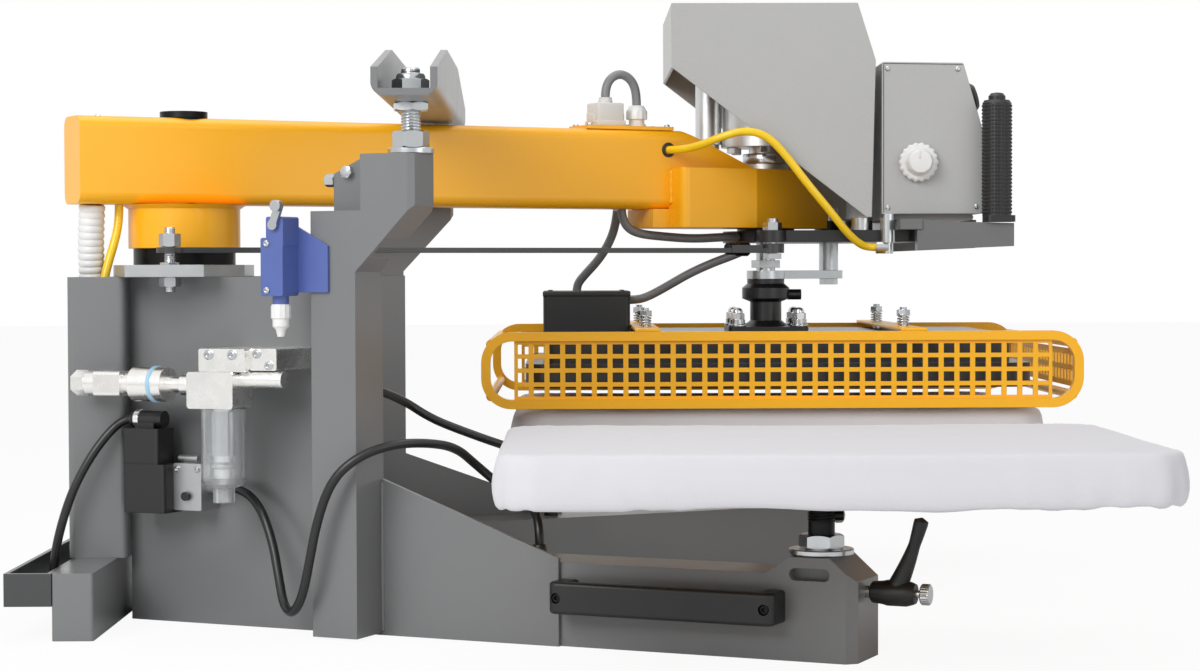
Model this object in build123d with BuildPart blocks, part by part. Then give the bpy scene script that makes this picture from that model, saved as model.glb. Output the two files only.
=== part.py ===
from build123d import *
import math
import os

os.makedirs("parts", exist_ok=True)

# Everything is in millimetres. X runs from the rear column to the tables, Y away from the
# front view, Z up. The origin is on the floor under the axis of the swing arm.

# Layout in plan
arm_reach = 634.0
station_angle = 27.1
leg_angle = 25.0

# Clearances
running_fit = 0.05
seat_gap = 0.3
thrust_gap = 0.3
pin_play = 0.5

# Base frame
leg_width = 60.0
leg_height = 71.0
leg_wall = 5.0
leg_start = 100.0
leg_end = 647.6
boss_height = 85.0
boss_ramp = 38.0
leg_nose = 17.3
leg_nose_height = 66.0
end_chamfer = 8.0
panel_thickness = 4.0
panel_height = 313.5
panel_reach = 215.2
gusset_reach = 386.0
gusset_low = 75.0
gusset_high = 137.0
beam_x = -71.0
beam_depth = 36.0
beam_length = 364.0
beam_height = 58.6
beam_wall = 3.0
column_x = -70.5
column_depth = 53.0
column_width = 134.0
column_wall = 4.0
column_radius = 6.0
tray_back = -130.0
tray_bottom = 30.0
tray_wall = 4.0

# Guide posts and the bar that ties them over the arm
post_start = 171.4
post_width = 43.6
post_foot = 2.0
post_notch = 220.6
post_shoulder = 370.0
post_reach = 271.0
post_height = 418.4
post_slope_low = 317.5
post_slope_high = 374.0
post_wall = 4.0
link_slot_low = 329.0
link_slot_height = 17.0
link_slot_skin = 4.6
crossbar_x = 222.9
crossbar_width = 55.0
crossbar_length = 550.0
crossbar_floor = 462.5
crossbar_sheet = 6.0
crossbar_end_height = 23.5
crossbar_height = 52.0
crossbar_plateau = 105.0
tie_rod_y = 187.0
tie_rod_diameter = 17.5
tie_rod_top = 492.0
tie_rod_depth = 22.0

# Arm pivot
housing_diameter = 86.0
shaft_diameter = 40.0
plate_thickness = 10.7
ring_diameter = 94.0
hub_diameter = 103.0
hub_bottom = 339.7

# Swing arm
arm_width = 50.0
arm_bottom = 380.0
arm_height = 80.0
arm_wall = 4.0
arm_radius = 10.0
arm_tail = 106.0
arm_slope_start = 521.0
arm_slope_end = 607.0
nose_start = 506.0
nose_bottom = 361.0
nose_top = 421.7
nose_half_width = 50.0
nose_taper_start = 593.0
nose_flat_end = 655.0
nose_tip = 703.0
nose_tip_half_width = 12.0
nose_tip_height = 381.0

# Head, its link bar and the pressing group
link_offset = 86.0
link_thickness = 5.0
link_bottom = 335.0
link_width = 14.0
link_pin_diameter = 10.0
spindle_diameter = 35.0
rod_diameter = 20.0
head_plate_bottom = 346.0
head_plate_thickness = 12.0
guide_x = 72.6
guide_y = 62.0
guide_diameter = 20.5
hood_width = 224.0
hood_sheet = 2.0
barrel_diameter = 90.0
flange_diameter = 94.0
flange_bottom = 445.8
flange_thickness = 10.5
platen_length = 500.0
platen_width = 340.0
platen_bottom = 202.0
platen_thickness = 52.0
guard_length = 588.0
guard_width = 384.0
guard_bottom = 183.0
guard_height = 75.0
guard_bar = 9.0
net_pitch = 15.4
net_hole = 10.4
net_columns = 34
net_rows = 4
net_thickness = 2.0
net_end_columns = 23
strap_width = 25.0
strap_thickness = 3.0

# Tables
thread_diameter = 22.0
thread_bottom = 30.0
table_length = 500.0
table_width = 340.0
board_thickness = 20.0
board_bottom = 152.0
cover_top = 181.5
cover_bottom = 139.0
cover_length = 530.0
cover_width = 364.0
cover_crown_length = 500.0
cover_crown_width = 345.0

# Worked out from the sizes above
leg_cos = math.cos(math.radians(leg_angle))
leg_sin = math.sin(math.radians(leg_angle))
arm_cos = math.cos(math.radians(station_angle))
arm_sin = math.sin(math.radians(station_angle))
station_x = arm_reach * arm_cos
station_y = arm_reach * arm_sin
apex_y = station_y - station_x * leg_sin / leg_cos + leg_width / 2 / leg_cos
station_s = station_x * leg_cos + (station_y - apex_y) * leg_sin
leg_axis = leg_width / 2
plate_top = panel_height + plate_thickness
arm_top = arm_bottom + arm_height
link_top = link_bottom + link_thickness
head_plate_top = head_plate_bottom + head_plate_thickness
platen_top = platen_bottom + platen_thickness
guard_top = guard_bottom + guard_height
board_top = board_bottom + board_thickness
barrel_bottom = flange_bottom + flange_thickness


def leg_plan(height):
    """Level plane of the near leg: x runs along the leg, y towards its inner side."""
    return Plane(origin=(0, -apex_y, height), x_dir=(leg_cos, -leg_sin, 0), z_dir=(0, 0, 1))


def leg_side(outward=0.0):
    """Upright plane on the near leg's outer face: x along the leg, y up, z outward."""
    origin = (-leg_sin * outward, -apex_y - leg_cos * outward, 0)
    return Plane(origin=origin, x_dir=(leg_cos, -leg_sin, 0), z_dir=(-leg_sin, -leg_cos, 0))


def leg_point(along, inward, height):
    """A point in the near leg's own measures."""
    x = along * leg_cos + inward * leg_sin
    return (x, -apex_y - along * leg_sin + inward * leg_cos, height)


def leg_cross(along, inward, height):
    """Plane square to the near leg, looking towards its free end."""
    return Plane(origin=leg_point(along, inward, height), x_dir=(0, 0, 1), z_dir=(leg_cos, -leg_sin, 0))


def leg_out(along, inward, height):
    """Plane that faces outward from the near leg."""
    return Plane(origin=leg_point(along, inward, height), x_dir=(leg_cos, -leg_sin, 0),
                 z_dir=(-leg_sin, -leg_cos, 0))


def arm_plan(height):
    """Level plane of the swing arm: x runs along the arm."""
    return Plane(origin=(0, 0, height), x_dir=(arm_cos, arm_sin, 0), z_dir=(0, 0, 1))


def arm_side():
    """Upright plane through the middle of the swing arm: x along the arm, y up."""
    return Plane(origin=(0, 0, 0), x_dir=(arm_cos, arm_sin, 0), z_dir=(arm_sin, -arm_cos, 0))


def arm_point(along, across, height):
    """A point in the swing arm's own measures."""
    return (along * arm_cos - across * arm_sin, along * arm_sin + across * arm_cos, height)


def arm_cross(along, across, height):
    """Plane square to the swing arm, looking towards its tip."""
    return Plane(origin=arm_point(along, across, height), x_dir=(0, 0, 1), z_dir=(arm_cos, arm_sin, 0))


def level(x, y, height):
    """Level plane at a point."""
    return Plane(origin=(x, y, height), x_dir=(1, 0, 0), z_dir=(0, 0, 1))


def facing_x(x, y, height):
    """Plane that looks along +X, with its own x pointing along Y."""
    return Plane(origin=(x, y, height), x_dir=(0, 1, 0), z_dir=(1, 0, 0))


def facing_front(x, y, height):
    """Plane that looks along -Y, with its own x pointing along X."""
    return Plane(origin=(x, y, height), x_dir=(1, 0, 0), z_dir=(0, -1, 0))


def disc(plane, diameter, length, mode=Mode.ADD):
    """A round bar, or a round hole, that starts on a plane."""
    with BuildSketch(plane) as section:
        Circle(diameter / 2)
    extrude(section.sketch, amount=length, mode=mode)


def hexagon(plane, across_flats, length, mode=Mode.ADD):
    """A hexagonal bar or nut that starts on a plane."""
    with BuildSketch(plane) as section:
        RegularPolygon(across_flats / 2, 6, major_radius=False)
    extrude(section.sketch, amount=length, mode=mode)


def block(plane, width, height, length, mode=Mode.ADD, radius=0.0):
    """A block that starts on a plane, centred on it, with rounded edges if asked."""
    with BuildSketch(plane) as section:
        if radius > 0:
            RectangleRounded(width, height, radius)
        else:
            Rectangle(width, height)
    extrude(section.sketch, amount=length, mode=mode)


def profile(plane, points, length, mode=Mode.ADD):
    """A plate or prism with the outline given by its corners."""
    with BuildSketch(plane) as section:
        with BuildLine():
            Polyline(*points, close=True)
        make_face()
    extrude(section.sketch, amount=length, mode=mode)


def turned(plane, points):
    """A turned piece: the corners are (radius, height) over the plane's axis."""
    upright = Plane(origin=plane.origin, x_dir=plane.x_dir, z_dir=-plane.y_dir)
    with BuildSketch(upright) as section:
        with BuildLine():
            Polyline(*points, close=True)
        make_face()
    revolve(section.sketch, axis=Axis(plane.origin, plane.z_dir))


def bend_radii(points):
    """Largest fair radius at each corner of a cord's route."""
    radii = []
    for before, corner, after in zip(points, points[1:], points[2:]):
        first = Vector(*corner) - Vector(*before)
        second = Vector(*after) - Vector(*corner)
        turn = math.radians(first.get_angle(second))
        radii.append(0.45 * min(first.length, second.length) / math.tan(turn / 2))
    return radii


def cord(name, points, diameter):
    """A cord or hose along its route of straight runs and tangent arcs."""
    radii = bend_radii(points)
    print(name, "diameter", diameter, "bend radii", [round(r, 1) for r in radii])
    with BuildLine() as route:
        FilletPolyline(*points, radius=radii)
    path = route.wires()[0]
    with BuildSketch(Plane(origin=path @ 0, z_dir=path % 0)) as section:
        Circle(diameter / 2)
    sweep(section.sketch, path=path)
    print(name, "length", round(path.length, 1))


# Rear beam: closed box section that the rear column stands on, with both feet
with BuildPart() as rear_beam:
    with BuildSketch(Plane.XY):
        with Locations((beam_x, 0)):
            RectangleRounded(beam_depth, beam_length, 3)
    extrude(amount=beam_height)
    with BuildSketch(Plane.XY.offset(beam_wall)):
        with Locations((beam_x, 0)):
            Rectangle(beam_depth - 2 * beam_wall, beam_length - 2 * beam_wall)
    extrude(amount=beam_height - 2 * beam_wall, mode=Mode.SUBTRACT)

# Rear column: open at the top, where the hoses drop in
with BuildPart() as rear_column:
    with BuildSketch(Plane.XY.offset(beam_height)):
        with Locations((column_x, 0)):
            RectangleRounded(column_depth, column_width, column_radius)
    extrude(amount=panel_height - beam_height)
    with BuildSketch(Plane.XY.offset(beam_height + column_wall)):
        with Locations((column_x, 0)):
            RectangleRounded(column_depth - 2 * column_wall, column_width - 2 * column_wall,
                             column_radius - column_wall)
    extrude(amount=panel_height - beam_height, mode=Mode.SUBTRACT)

# Cable tray: open trough behind the beam, with closed ends
tray_front = beam_x - beam_depth / 2
with BuildPart() as cable_tray:
    with BuildSketch(Plane.XY.offset(tray_bottom)):
        with Locations(((tray_back + tray_front) / 2, 0)):
            Rectangle(tray_front - tray_back, beam_length)
    extrude(amount=beam_height - tray_bottom)
    with BuildSketch(Plane.XY.offset(tray_bottom + tray_wall)):
        with Locations(((tray_back + tray_front) / 2, 0)):
            Rectangle(tray_front - tray_back - 2 * tray_wall, beam_length - 2 * tray_wall)
    extrude(amount=beam_height, mode=Mode.SUBTRACT)

# Side panels: upright plates on the outer faces of the legs, drawn out into gussets
panel_start = (column_x + column_depth / 2 + panel_thickness * leg_sin) / leg_cos
with BuildPart() as side_panels:
    with BuildSketch(leg_side()):
        with BuildLine():
            Polyline((panel_start, 0), (gusset_reach, 0), (gusset_reach, gusset_low),
                     (panel_reach, gusset_high), (panel_reach, panel_height),
                     (panel_start, panel_height), close=True)
        make_face()
    extrude(amount=panel_thickness)
    mirror(about=Plane.XZ)


# Legs: box sections with a solid end block that carries the table column
with BuildPart() as near_leg:
    with BuildSketch(leg_side()):
        with BuildLine():
            Polyline((leg_start, 0), (leg_end, 0), (leg_end, leg_nose_height),
                     (station_s + leg_nose, boss_height), (station_s - leg_nose, boss_height),
                     (station_s - boss_ramp, leg_height), (leg_start, leg_height), close=True)
        make_face()
    extrude(amount=-leg_width)
    end_edges = near_leg.edges().filter_by(Axis.Z).group_by(SortBy.DISTANCE)[-1]
    chamfer(end_edges, end_chamfer)
    hollow_start = leg_start + leg_wall
    hollow_end = station_s - boss_ramp
    with BuildSketch(leg_plan(leg_wall)):
        with Locations(((hollow_start + hollow_end) / 2, leg_axis)):
            Rectangle(hollow_end - hollow_start, leg_width - 2 * leg_wall)
    extrude(amount=leg_height - 2 * leg_wall, mode=Mode.SUBTRACT)
    with BuildSketch(leg_plan(thread_bottom - 15)):
        with Locations((station_s, leg_axis)):
            Circle(thread_diameter / 2 + running_fit)
    extrude(amount=boss_height, mode=Mode.SUBTRACT)
    with BuildSketch(leg_side()):
        with Locations((station_s, leg_height)):
            SlotOverall(2 * leg_nose, 10)
    extrude(amount=-12, mode=Mode.SUBTRACT)
    disc(leg_cross(leg_end - 22, leg_axis, 56), 10 + 2 * running_fit, 30, Mode.SUBTRACT)

with BuildPart() as far_leg:
    mirror(near_leg.part, about=Plane.XZ)

# Carry handles: a bar on two feet, screwed to the outer face of each leg
handle_start = 387.0
handle_end = 588.0
handle_depth = 30.0
handle_bar = 12.0
handle_foot = 16.0
handle_low = 31.0
handle_tall = 27.0
handle_middle = (handle_start + handle_end) / 2
with BuildPart() as carry_handles:
    with BuildSketch(leg_plan(handle_low)):
        with Locations((handle_middle, -handle_depth / 2)):
            RectangleRounded(handle_end - handle_start, handle_depth, 8)
        with Locations((handle_middle, -(handle_depth - handle_bar) / 2)):
            Rectangle(handle_end - handle_start - 2 * handle_foot, handle_depth - handle_bar,
                      mode=Mode.SUBTRACT)
        with Locations((handle_middle, -4)):
            Rectangle(handle_end - handle_start, 8)
        with Locations((handle_middle, -4)):
            Rectangle(handle_end - handle_start - 2 * handle_foot, 8, mode=Mode.SUBTRACT)
    extrude(amount=handle_tall)
    fillet(carry_handles.faces().sort_by(Axis.Z)[-1].edges(), 3)
    fillet(carry_handles.faces().sort_by(Axis.Z)[0].edges(), 3)
    for foot in (handle_start + handle_foot / 2, handle_end - handle_foot / 2):
        disc(leg_out(foot, -handle_depth + 6, handle_low + handle_tall / 2), 9, 10, Mode.SUBTRACT)
    mirror(about=Plane.XZ)

# Guide posts: closed box below, solid head with the tie rod's hole, stepped at the notch
with BuildPart() as post_blank:
    with BuildSketch(leg_side(panel_thickness)):
        with BuildLine():
            Polyline((post_start, post_foot), (panel_reach, post_foot), (panel_reach, post_slope_low),
                     (post_reach, post_slope_high), (post_reach, post_height),
                     (post_notch, post_height), (post_notch, post_shoulder),
                     (post_start, post_shoulder), close=True)
        make_face()
    extrude(amount=post_width)
    bevels = post_blank.faces().sort_by(Axis.Y)[0].edges().filter_by(Axis.Z).sort_by(Axis.X)[-2:]
    chamfer(bevels, 5)
    with BuildSketch(leg_plan(post_foot + post_wall)):
        with Locations(((post_start + panel_reach) / 2, -panel_thickness - post_width / 2)):
            Rectangle(panel_reach - post_start - 2 * post_wall, post_width - 2 * post_wall)
    extrude(amount=panel_height - 2 * post_wall, mode=Mode.SUBTRACT)
    profile(leg_side(18), [(181, post_shoulder), (post_notch, post_shoulder),
                           (post_notch, post_height), (214, post_height), (181, 402.6)], 6)
    disc(level(crossbar_x, -tie_rod_y, post_height - tie_rod_depth),
         tie_rod_diameter + 2 * running_fit, tie_rod_depth, Mode.SUBTRACT)

# The near post has a slot that the head's link bar swings into
with BuildPart() as near_post:
    add(post_blank.part)
    slot_middle = link_slot_low + link_slot_height / 2
    with BuildSketch(leg_side(panel_thickness)):
        with Locations(((post_start + post_reach) / 2, slot_middle)):
            Rectangle(post_reach - post_start + 20, link_slot_height)
    extrude(amount=post_width - link_slot_skin, mode=Mode.SUBTRACT)

with BuildPart() as far_post:
    mirror(post_blank.part, about=Plane.XZ)

# Crossbar: channel over the arm, deeper in the middle
with BuildPart() as crossbar:
    half = crossbar_length / 2
    with BuildSketch(Plane.YZ.offset(crossbar_x - crossbar_width / 2)):
        with BuildLine():
            Polyline((-half, crossbar_floor), (half, crossbar_floor),
                     (half, crossbar_floor + crossbar_end_height),
                     (crossbar_plateau, crossbar_floor + crossbar_height),
                     (-crossbar_plateau, crossbar_floor + crossbar_height),
                     (-half, crossbar_floor + crossbar_end_height), close=True)
        make_face()
    extrude(amount=crossbar_width)
    fillet(crossbar.faces().sort_by(Axis.Z)[0].edges().filter_by(Axis.Y), 11)
    with BuildSketch(Plane.XZ.offset(-half)):
        with Locations((crossbar_x, crossbar_floor + crossbar_sheet + crossbar_height / 2)):
            Rectangle(crossbar_width - 2 * crossbar_sheet, crossbar_height)
    extrude(amount=crossbar_length, mode=Mode.SUBTRACT)
    with Locations((crossbar_x, tie_rod_y, crossbar_floor), (crossbar_x, -tie_rod_y, crossbar_floor)):
        Cylinder(tie_rod_diameter / 2 + running_fit, 4 * crossbar_sheet, mode=Mode.SUBTRACT)

# Bearing housing: floor disc, tube and the plate that closes the frame at the top
plate_half = 60.0
plate_reach = 118.0
with BuildPart() as bearing_housing:
    disc(level(0, 0, 0), 100, 8)
    disc(level(0, 0, 8), housing_diameter, panel_height - 8)
    profile(level(0, 0, panel_height),
            [(plate_half, -35), (plate_half, 35), (35, plate_reach), (-35, plate_reach),
             (-plate_half, 35), (-plate_half, -35), (-35, -plate_reach), (35, -plate_reach)],
            plate_thickness)
    disc(level(0, 0, 8), shaft_diameter + 2 * running_fit, plate_top, Mode.SUBTRACT)
    disc(level(0, -link_offset, panel_height - 1), link_pin_diameter + 2 * running_fit,
         plate_thickness + 2, Mode.SUBTRACT)

# Pivot shaft with its thrust ring and the cap on top of the arm
with BuildPart() as pivot_shaft:
    disc(level(0, 0, 8 + seat_gap), shaft_diameter, arm_top - 8)
    disc(level(0, 0, plate_top), ring_diameter, hub_bottom - thrust_gap - plate_top)
    disc(level(0, 0, arm_top + thrust_gap), shaft_diameter + 4, 6)

# Frame fasteners: tie rods with washers and nuts, the link's fixed pin, the post bolts and
# the glands on top of the legs that the hose and the heater's feed run into
near_gland_s = 352.0
far_gland_s = 360.0
gland_top = 82.0
with BuildPart() as frame_fasteners:
    for side in (-1, 1):
        rod_y = side * tie_rod_y
        rod_foot = post_height - tie_rod_depth + seat_gap
        disc(level(crossbar_x, rod_y, rod_foot), tie_rod_diameter, tie_rod_top - rod_foot)
        disc(level(crossbar_x, rod_y, post_height), 40, 5)
        hexagon(level(crossbar_x, rod_y, post_height + 5), 28, 14.6)
        hexagon(level(crossbar_x, rod_y, crossbar_floor - 7.5), 28, 7.5)
        hexagon(level(crossbar_x, rod_y, crossbar_floor + crossbar_sheet), 28, 18.5)
    pin_foot = 300.0
    disc(level(0, -link_offset, pin_foot), link_pin_diameter, 58)
    hexagon(level(0, -link_offset, panel_height - 9), 17, 9)
    hexagon(level(0, -link_offset, plate_top), 17, 9)
    hexagon(level(0, -link_offset, link_top + thrust_gap), 17, 12)
    hexagon(leg_cross(172, -21, 397), 10, 9)
    hexagon(leg_out(196, -24, 404), 10, 6)
    with BuildSketch(leg_plan(boss_height)) as washer:
        with Locations((station_s, leg_axis)):
            Circle(26.7)
            Circle(thread_diameter / 2 + running_fit, mode=Mode.SUBTRACT)
    extrude(washer.sketch, amount=5)
    with BuildSketch(leg_plan(boss_height + 5)) as nut:
        with Locations((station_s, leg_axis)):
            RegularPolygon(32.7 / 2, 6, major_radius=False)
            Circle(thread_diameter / 2 + running_fit, mode=Mode.SUBTRACT)
    extrude(nut.sketch, amount=11.5)
    mirror([s for s in frame_fasteners.solids() if s.center().X > station_x - 30], about=Plane.XZ)
    disc(level(*leg_point(near_gland_s, leg_axis, leg_height)), 14, gland_top - leg_height)
    far_gland = leg_point(far_gland_s, leg_axis, leg_height)
    disc(level(far_gland[0], -far_gland[1], leg_height), 14, gland_top - leg_height)

# Limit switch on a bracket outside the near post, with its gland below
switch_s = 150.0
with BuildPart() as limit_switch:
    profile(leg_side(panel_thickness + post_width), [(138, 300), (190, 300), (190, 340), (150, 362),
                                                     (138, 362)], 3)
    switch_face = panel_thickness + post_width + 3
    with BuildSketch(leg_side(switch_face)):
        with Locations((switch_s, 322)):
            RectangleRounded(22, 50, 2)
        with Locations((switch_s + 3, 352)):
            RectangleRounded(17, 26, 2)
    extrude(amount=26)
    with BuildSketch(leg_plan(275)):
        with Locations((switch_s + 1, -switch_face - 13)):
            Circle(7)
    extrude(amount=22.2)

# Switch lever: short arm with a roller, on a pin in the switch's head
lever_pivot = (switch_s + 3, -switch_face - 26, 358)
with BuildPart() as switch_lever:
    disc(leg_out(lever_pivot[0], lever_pivot[1] - seat_gap, lever_pivot[2]), 9, 4)
    with BuildSketch(leg_out(lever_pivot[0], lever_pivot[1] - seat_gap, 0)) as arm_sketch:
        with Locations((3, lever_pivot[2] + 8)):
            SlotOverall(24, 7, rotation=70)
    extrude(arm_sketch.sketch, amount=4)
    disc(leg_out(lever_pivot[0] + 6, lever_pivot[1] - seat_gap - 4, lever_pivot[2] + 16), 10, 5)

# Air preparation: a line of filter and coupling that stands off the near side panel
air_line = -62.0
air_height = 219.0
with BuildPart() as filter_head:
    with BuildSketch(leg_side(46)):
        with Locations((87, 215)):
            RectangleRounded(47, 32, 3)
    extrude(amount=32)
    with BuildSketch(leg_side(panel_thickness)):
        with Locations((97, 241.2)):
            RectangleRounded(47, 20, 2)
    extrude(amount=70)
    with BuildSketch(leg_side(panel_thickness)):
        with Locations((134, 242)):
            RectangleRounded(27, 19, 2)
    extrude(amount=62)
    disc(leg_cross(110.5, air_line, 224.5), 15, 43)
    disc(Plane(origin=leg_point(91, air_line, 137), x_dir=(1, 0, 0), z_dir=(0, 0, 1)), 18, 62)

with BuildPart() as filter_bowl:
    turned(Plane(origin=leg_point(91, air_line, 0), x_dir=(1, 0, 0), z_dir=(0, 0, 1)),
           [(0, 128.6), (5.7, 128.6), (5.7, 117), (9.5, 117), (9.5, 129.4), (16, 131), (19.5, 137),
            (19.5, 198.8), (16.5, 198.8), (16.5, 139), (10, 135), (0, 135)])

sleeve_bore = 14.0
inlet_bore = 11.0
inlet_depth = 12.0
with BuildPart() as air_fittings:
    hexagon(leg_cross(-63.5, air_line, air_height), 20, 13)
    disc(leg_cross(-63.5, air_line, air_height), inlet_bore, inlet_depth, Mode.SUBTRACT)
    disc(leg_cross(-50.5, air_line, air_height), 21, 12)
    block(leg_cross(-38.5, air_line, air_height), 22, 22, 28, radius=3)
    disc(leg_cross(-10.5, air_line, air_height), 19, 8.2)
    disc(leg_cross(-2.3, air_line, air_height), sleeve_bore, 62)
    disc(leg_cross(50, air_line, air_height), 18.6, 13.5)

with BuildPart() as coupling_sleeve:
    with BuildSketch(leg_cross(0, air_line, air_height)) as sleeve:
        Circle(15.4)
        Circle(sleeve_bore / 2 + running_fit, mode=Mode.SUBTRACT)
    extrude(sleeve.sketch, amount=34)

# Solenoid valve: body, coil with its plug, brass tube and the manual button
valve_z = 126.0
valve_start = 19.75
valve_end = 49.0
valve_depth = 30.0
valve_axis = -panel_thickness - valve_depth / 2
coil_axis = -33.0
button_s = 34.0
button_z = 118.0
with BuildPart() as valve_body:
    with BuildSketch(leg_side(panel_thickness)):
        with Locations(((valve_start + valve_end) / 2, valve_z)):
            RectangleRounded(valve_end - valve_start, 42, 2)
    extrude(amount=valve_depth)
    disc(leg_cross(valve_end, valve_axis, valve_z), 12, 12)
    disc(leg_cross(16.8, valve_axis, valve_z + 21 + 3.3), 7, 20)
    disc(leg_out(button_s, -panel_thickness - valve_depth + 12, button_z), 8 + 2 * running_fit, 14,
         Mode.SUBTRACT)

with BuildPart() as valve_coil:
    with BuildSketch(leg_plan(102.8)):
        with Locations((valve_start - 22, coil_axis)):
            RectangleRounded(44, 32, 3)
    extrude(amount=43.5)
    with BuildSketch(leg_plan(146.3)):
        with Locations((-7, coil_axis)):
            RectangleRounded(38, 28, 3)
    extrude(amount=31.7)
    with BuildSketch(leg_plan(178)):
        with Locations((-7, coil_axis)):
            Rectangle(20, 14)
    extrude(amount=8)
    disc(leg_cross(-22.6, coil_axis, 186), 15, 33)

with BuildPart() as override_button:
    disc(leg_out(button_s, -panel_thickness - valve_depth + 8, button_z), 8, 12)


# Clamp levers: hub on a stud in the end of each leg, with an upright handle
lever_z = 56.0
with BuildPart() as near_lever:
    disc(leg_cross(leg_end - 20, leg_axis, lever_z), 10, 26)
    turned(leg_cross(leg_end + 4, leg_axis, lever_z),
           [(0, 0), (8, 0), (10, 2), (10, 36), (8, 38), (0, 38)])
    disc(leg_cross(leg_end + 42, leg_axis, lever_z), 17, 10)
    with BuildLine() as grip_line:
        Line(leg_point(leg_end + 25, leg_axis, lever_z), leg_point(leg_end + 47, leg_axis, 112))
    with BuildSketch(Plane(origin=grip_line.line @ 0, z_dir=grip_line.line % 0)) as grip_section:
        Circle(6.5)
    sweep(grip_section.sketch, path=grip_line.line)
    disc(Plane(origin=grip_line.line @ 1, z_dir=grip_line.line % 1), 15, 8)

with BuildPart() as far_lever:
    mirror(near_lever.part, about=Plane.XZ)

# Tables: threaded column with its top flange, wooden board and padded cover
with BuildPart() as near_column:
    disc(level(station_x, -station_y, thread_bottom), thread_diameter, board_bottom - thread_bottom)
    disc(level(station_x, -station_y, board_bottom - 8), 90, 8)
    disc(facing_x(station_x + thread_diameter / 2 - 2, -station_y, 117), 9, 9)

with BuildPart() as far_column:
    mirror(near_column.part, about=Plane.XZ)

with BuildPart() as near_board:
    with BuildSketch(level(station_x, -station_y, board_bottom)):
        RectangleRounded(table_length - 12, table_width - 8, 24)
    extrude(amount=board_thickness)

with BuildPart() as far_board:
    mirror(near_board.part, about=Plane.XZ)

with BuildPart() as near_cover:
    with BuildSketch(level(station_x, -station_y, cover_bottom)):
        RectangleRounded(cover_length - 6, cover_width - 6, 34)
    with BuildSketch(level(station_x, -station_y, cover_bottom + 16)):
        RectangleRounded(cover_length, cover_width, 36)
    loft()
    with BuildSketch(level(station_x, -station_y, cover_bottom + 16)):
        RectangleRounded(cover_length, cover_width, 36)
    with BuildSketch(level(station_x, -station_y, cover_top - 2)):
        RectangleRounded(cover_crown_length + 6, cover_crown_width + 4, 30)
    loft()
    with BuildSketch(level(station_x, -station_y, cover_top - 2)):
        RectangleRounded(cover_crown_length + 6, cover_crown_width + 4, 30)
    with BuildSketch(level(station_x, -station_y, cover_top)):
        RectangleRounded(cover_crown_length - 2, cover_crown_width - 4, 27)
    loft()
    with BuildSketch(level(station_x, -station_y, cover_bottom)):
        RectangleRounded(table_length - 12 + 2 * seat_gap, table_width - 8 + 2 * seat_gap, 24)
    extrude(amount=board_top - cover_bottom + seat_gap, mode=Mode.SUBTRACT)

with BuildPart() as far_cover:
    mirror(near_cover.part, about=Plane.XZ)

# Swing arm: box section with a sloped end, cover plate and the shaft's bore
with BuildPart() as arm_tube:
    with BuildSketch(arm_side()):
        with BuildLine():
            Polyline((-arm_tail, arm_bottom), (nose_start, arm_bottom), (nose_start, nose_top),
                     (arm_slope_end, nose_top), (arm_slope_start, arm_top),
                     (-arm_tail, arm_top), close=True)
        make_face()
    extrude(amount=arm_width / 2, both=True)
    long_edges = arm_tube.edges().filter_by(lambda e: e.length > nose_start)
    fillet(long_edges, arm_radius)
    with BuildSketch(arm_plan(arm_bottom + arm_wall)):
        with Locations(((nose_start - arm_tail) / 2, 0)):
            Rectangle(nose_start + arm_tail - 2 * arm_wall, arm_width - 2 * arm_wall)
    extrude(amount=arm_height - 2 * arm_wall, mode=Mode.SUBTRACT)
    with BuildSketch(arm_plan(arm_top)):
        with Locations((462.5, 0)):
            Rectangle(99, 40)
    extrude(amount=3.7)
    disc(level(0, 0, arm_bottom - 1), shaft_diameter + 2 * running_fit, arm_height + 2, Mode.SUBTRACT)

with BuildPart() as pivot_hub:
    turned(level(0, 0, 0), [(shaft_diameter / 2 + running_fit, hub_bottom),
                            (hub_diameter / 2, hub_bottom), (hub_diameter / 2, arm_bottom - 4),
                            (hub_diameter / 2 + 6, arm_bottom), (shaft_diameter / 2 + running_fit, arm_bottom)])

# Arm nose: block that carries the head's spindle, with a pad under its root
with BuildPart() as arm_nose:
    with BuildSketch(arm_plan(nose_bottom)):
        with BuildLine():
            Polyline((nose_start, -nose_half_width), (nose_taper_start, -nose_half_width),
                     (nose_tip, -nose_tip_half_width), (nose_tip, nose_tip_half_width),
                     (nose_taper_start, nose_half_width), (nose_start, nose_half_width), close=True)
        make_face()
    extrude(amount=nose_top - nose_bottom)
    tip_edges = arm_nose.edges().filter_by(Axis.Z)
    fillet([e for e in tip_edges if (e @ 0).X ** 2 + (e @ 0).Y ** 2 < nose_taper_start ** 2], 8)
    with BuildSketch(arm_side()):
        with BuildLine():
            Polyline((nose_flat_end, nose_top), (nose_tip, nose_tip_height),
                     (nose_tip + 1, nose_top + 1), close=True)
        make_face()
    extrude(amount=nose_half_width, both=True, mode=Mode.SUBTRACT)
    with BuildSketch(arm_plan(nose_bottom)):
        with Locations(((484 + nose_start) / 2, 0)):
            Rectangle(nose_start - 484, 54)
    extrude(amount=arm_bottom - nose_bottom)
    disc(level(station_x, station_y, nose_bottom - 1), spindle_diameter + 2 * running_fit, 80,
         Mode.SUBTRACT)

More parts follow.
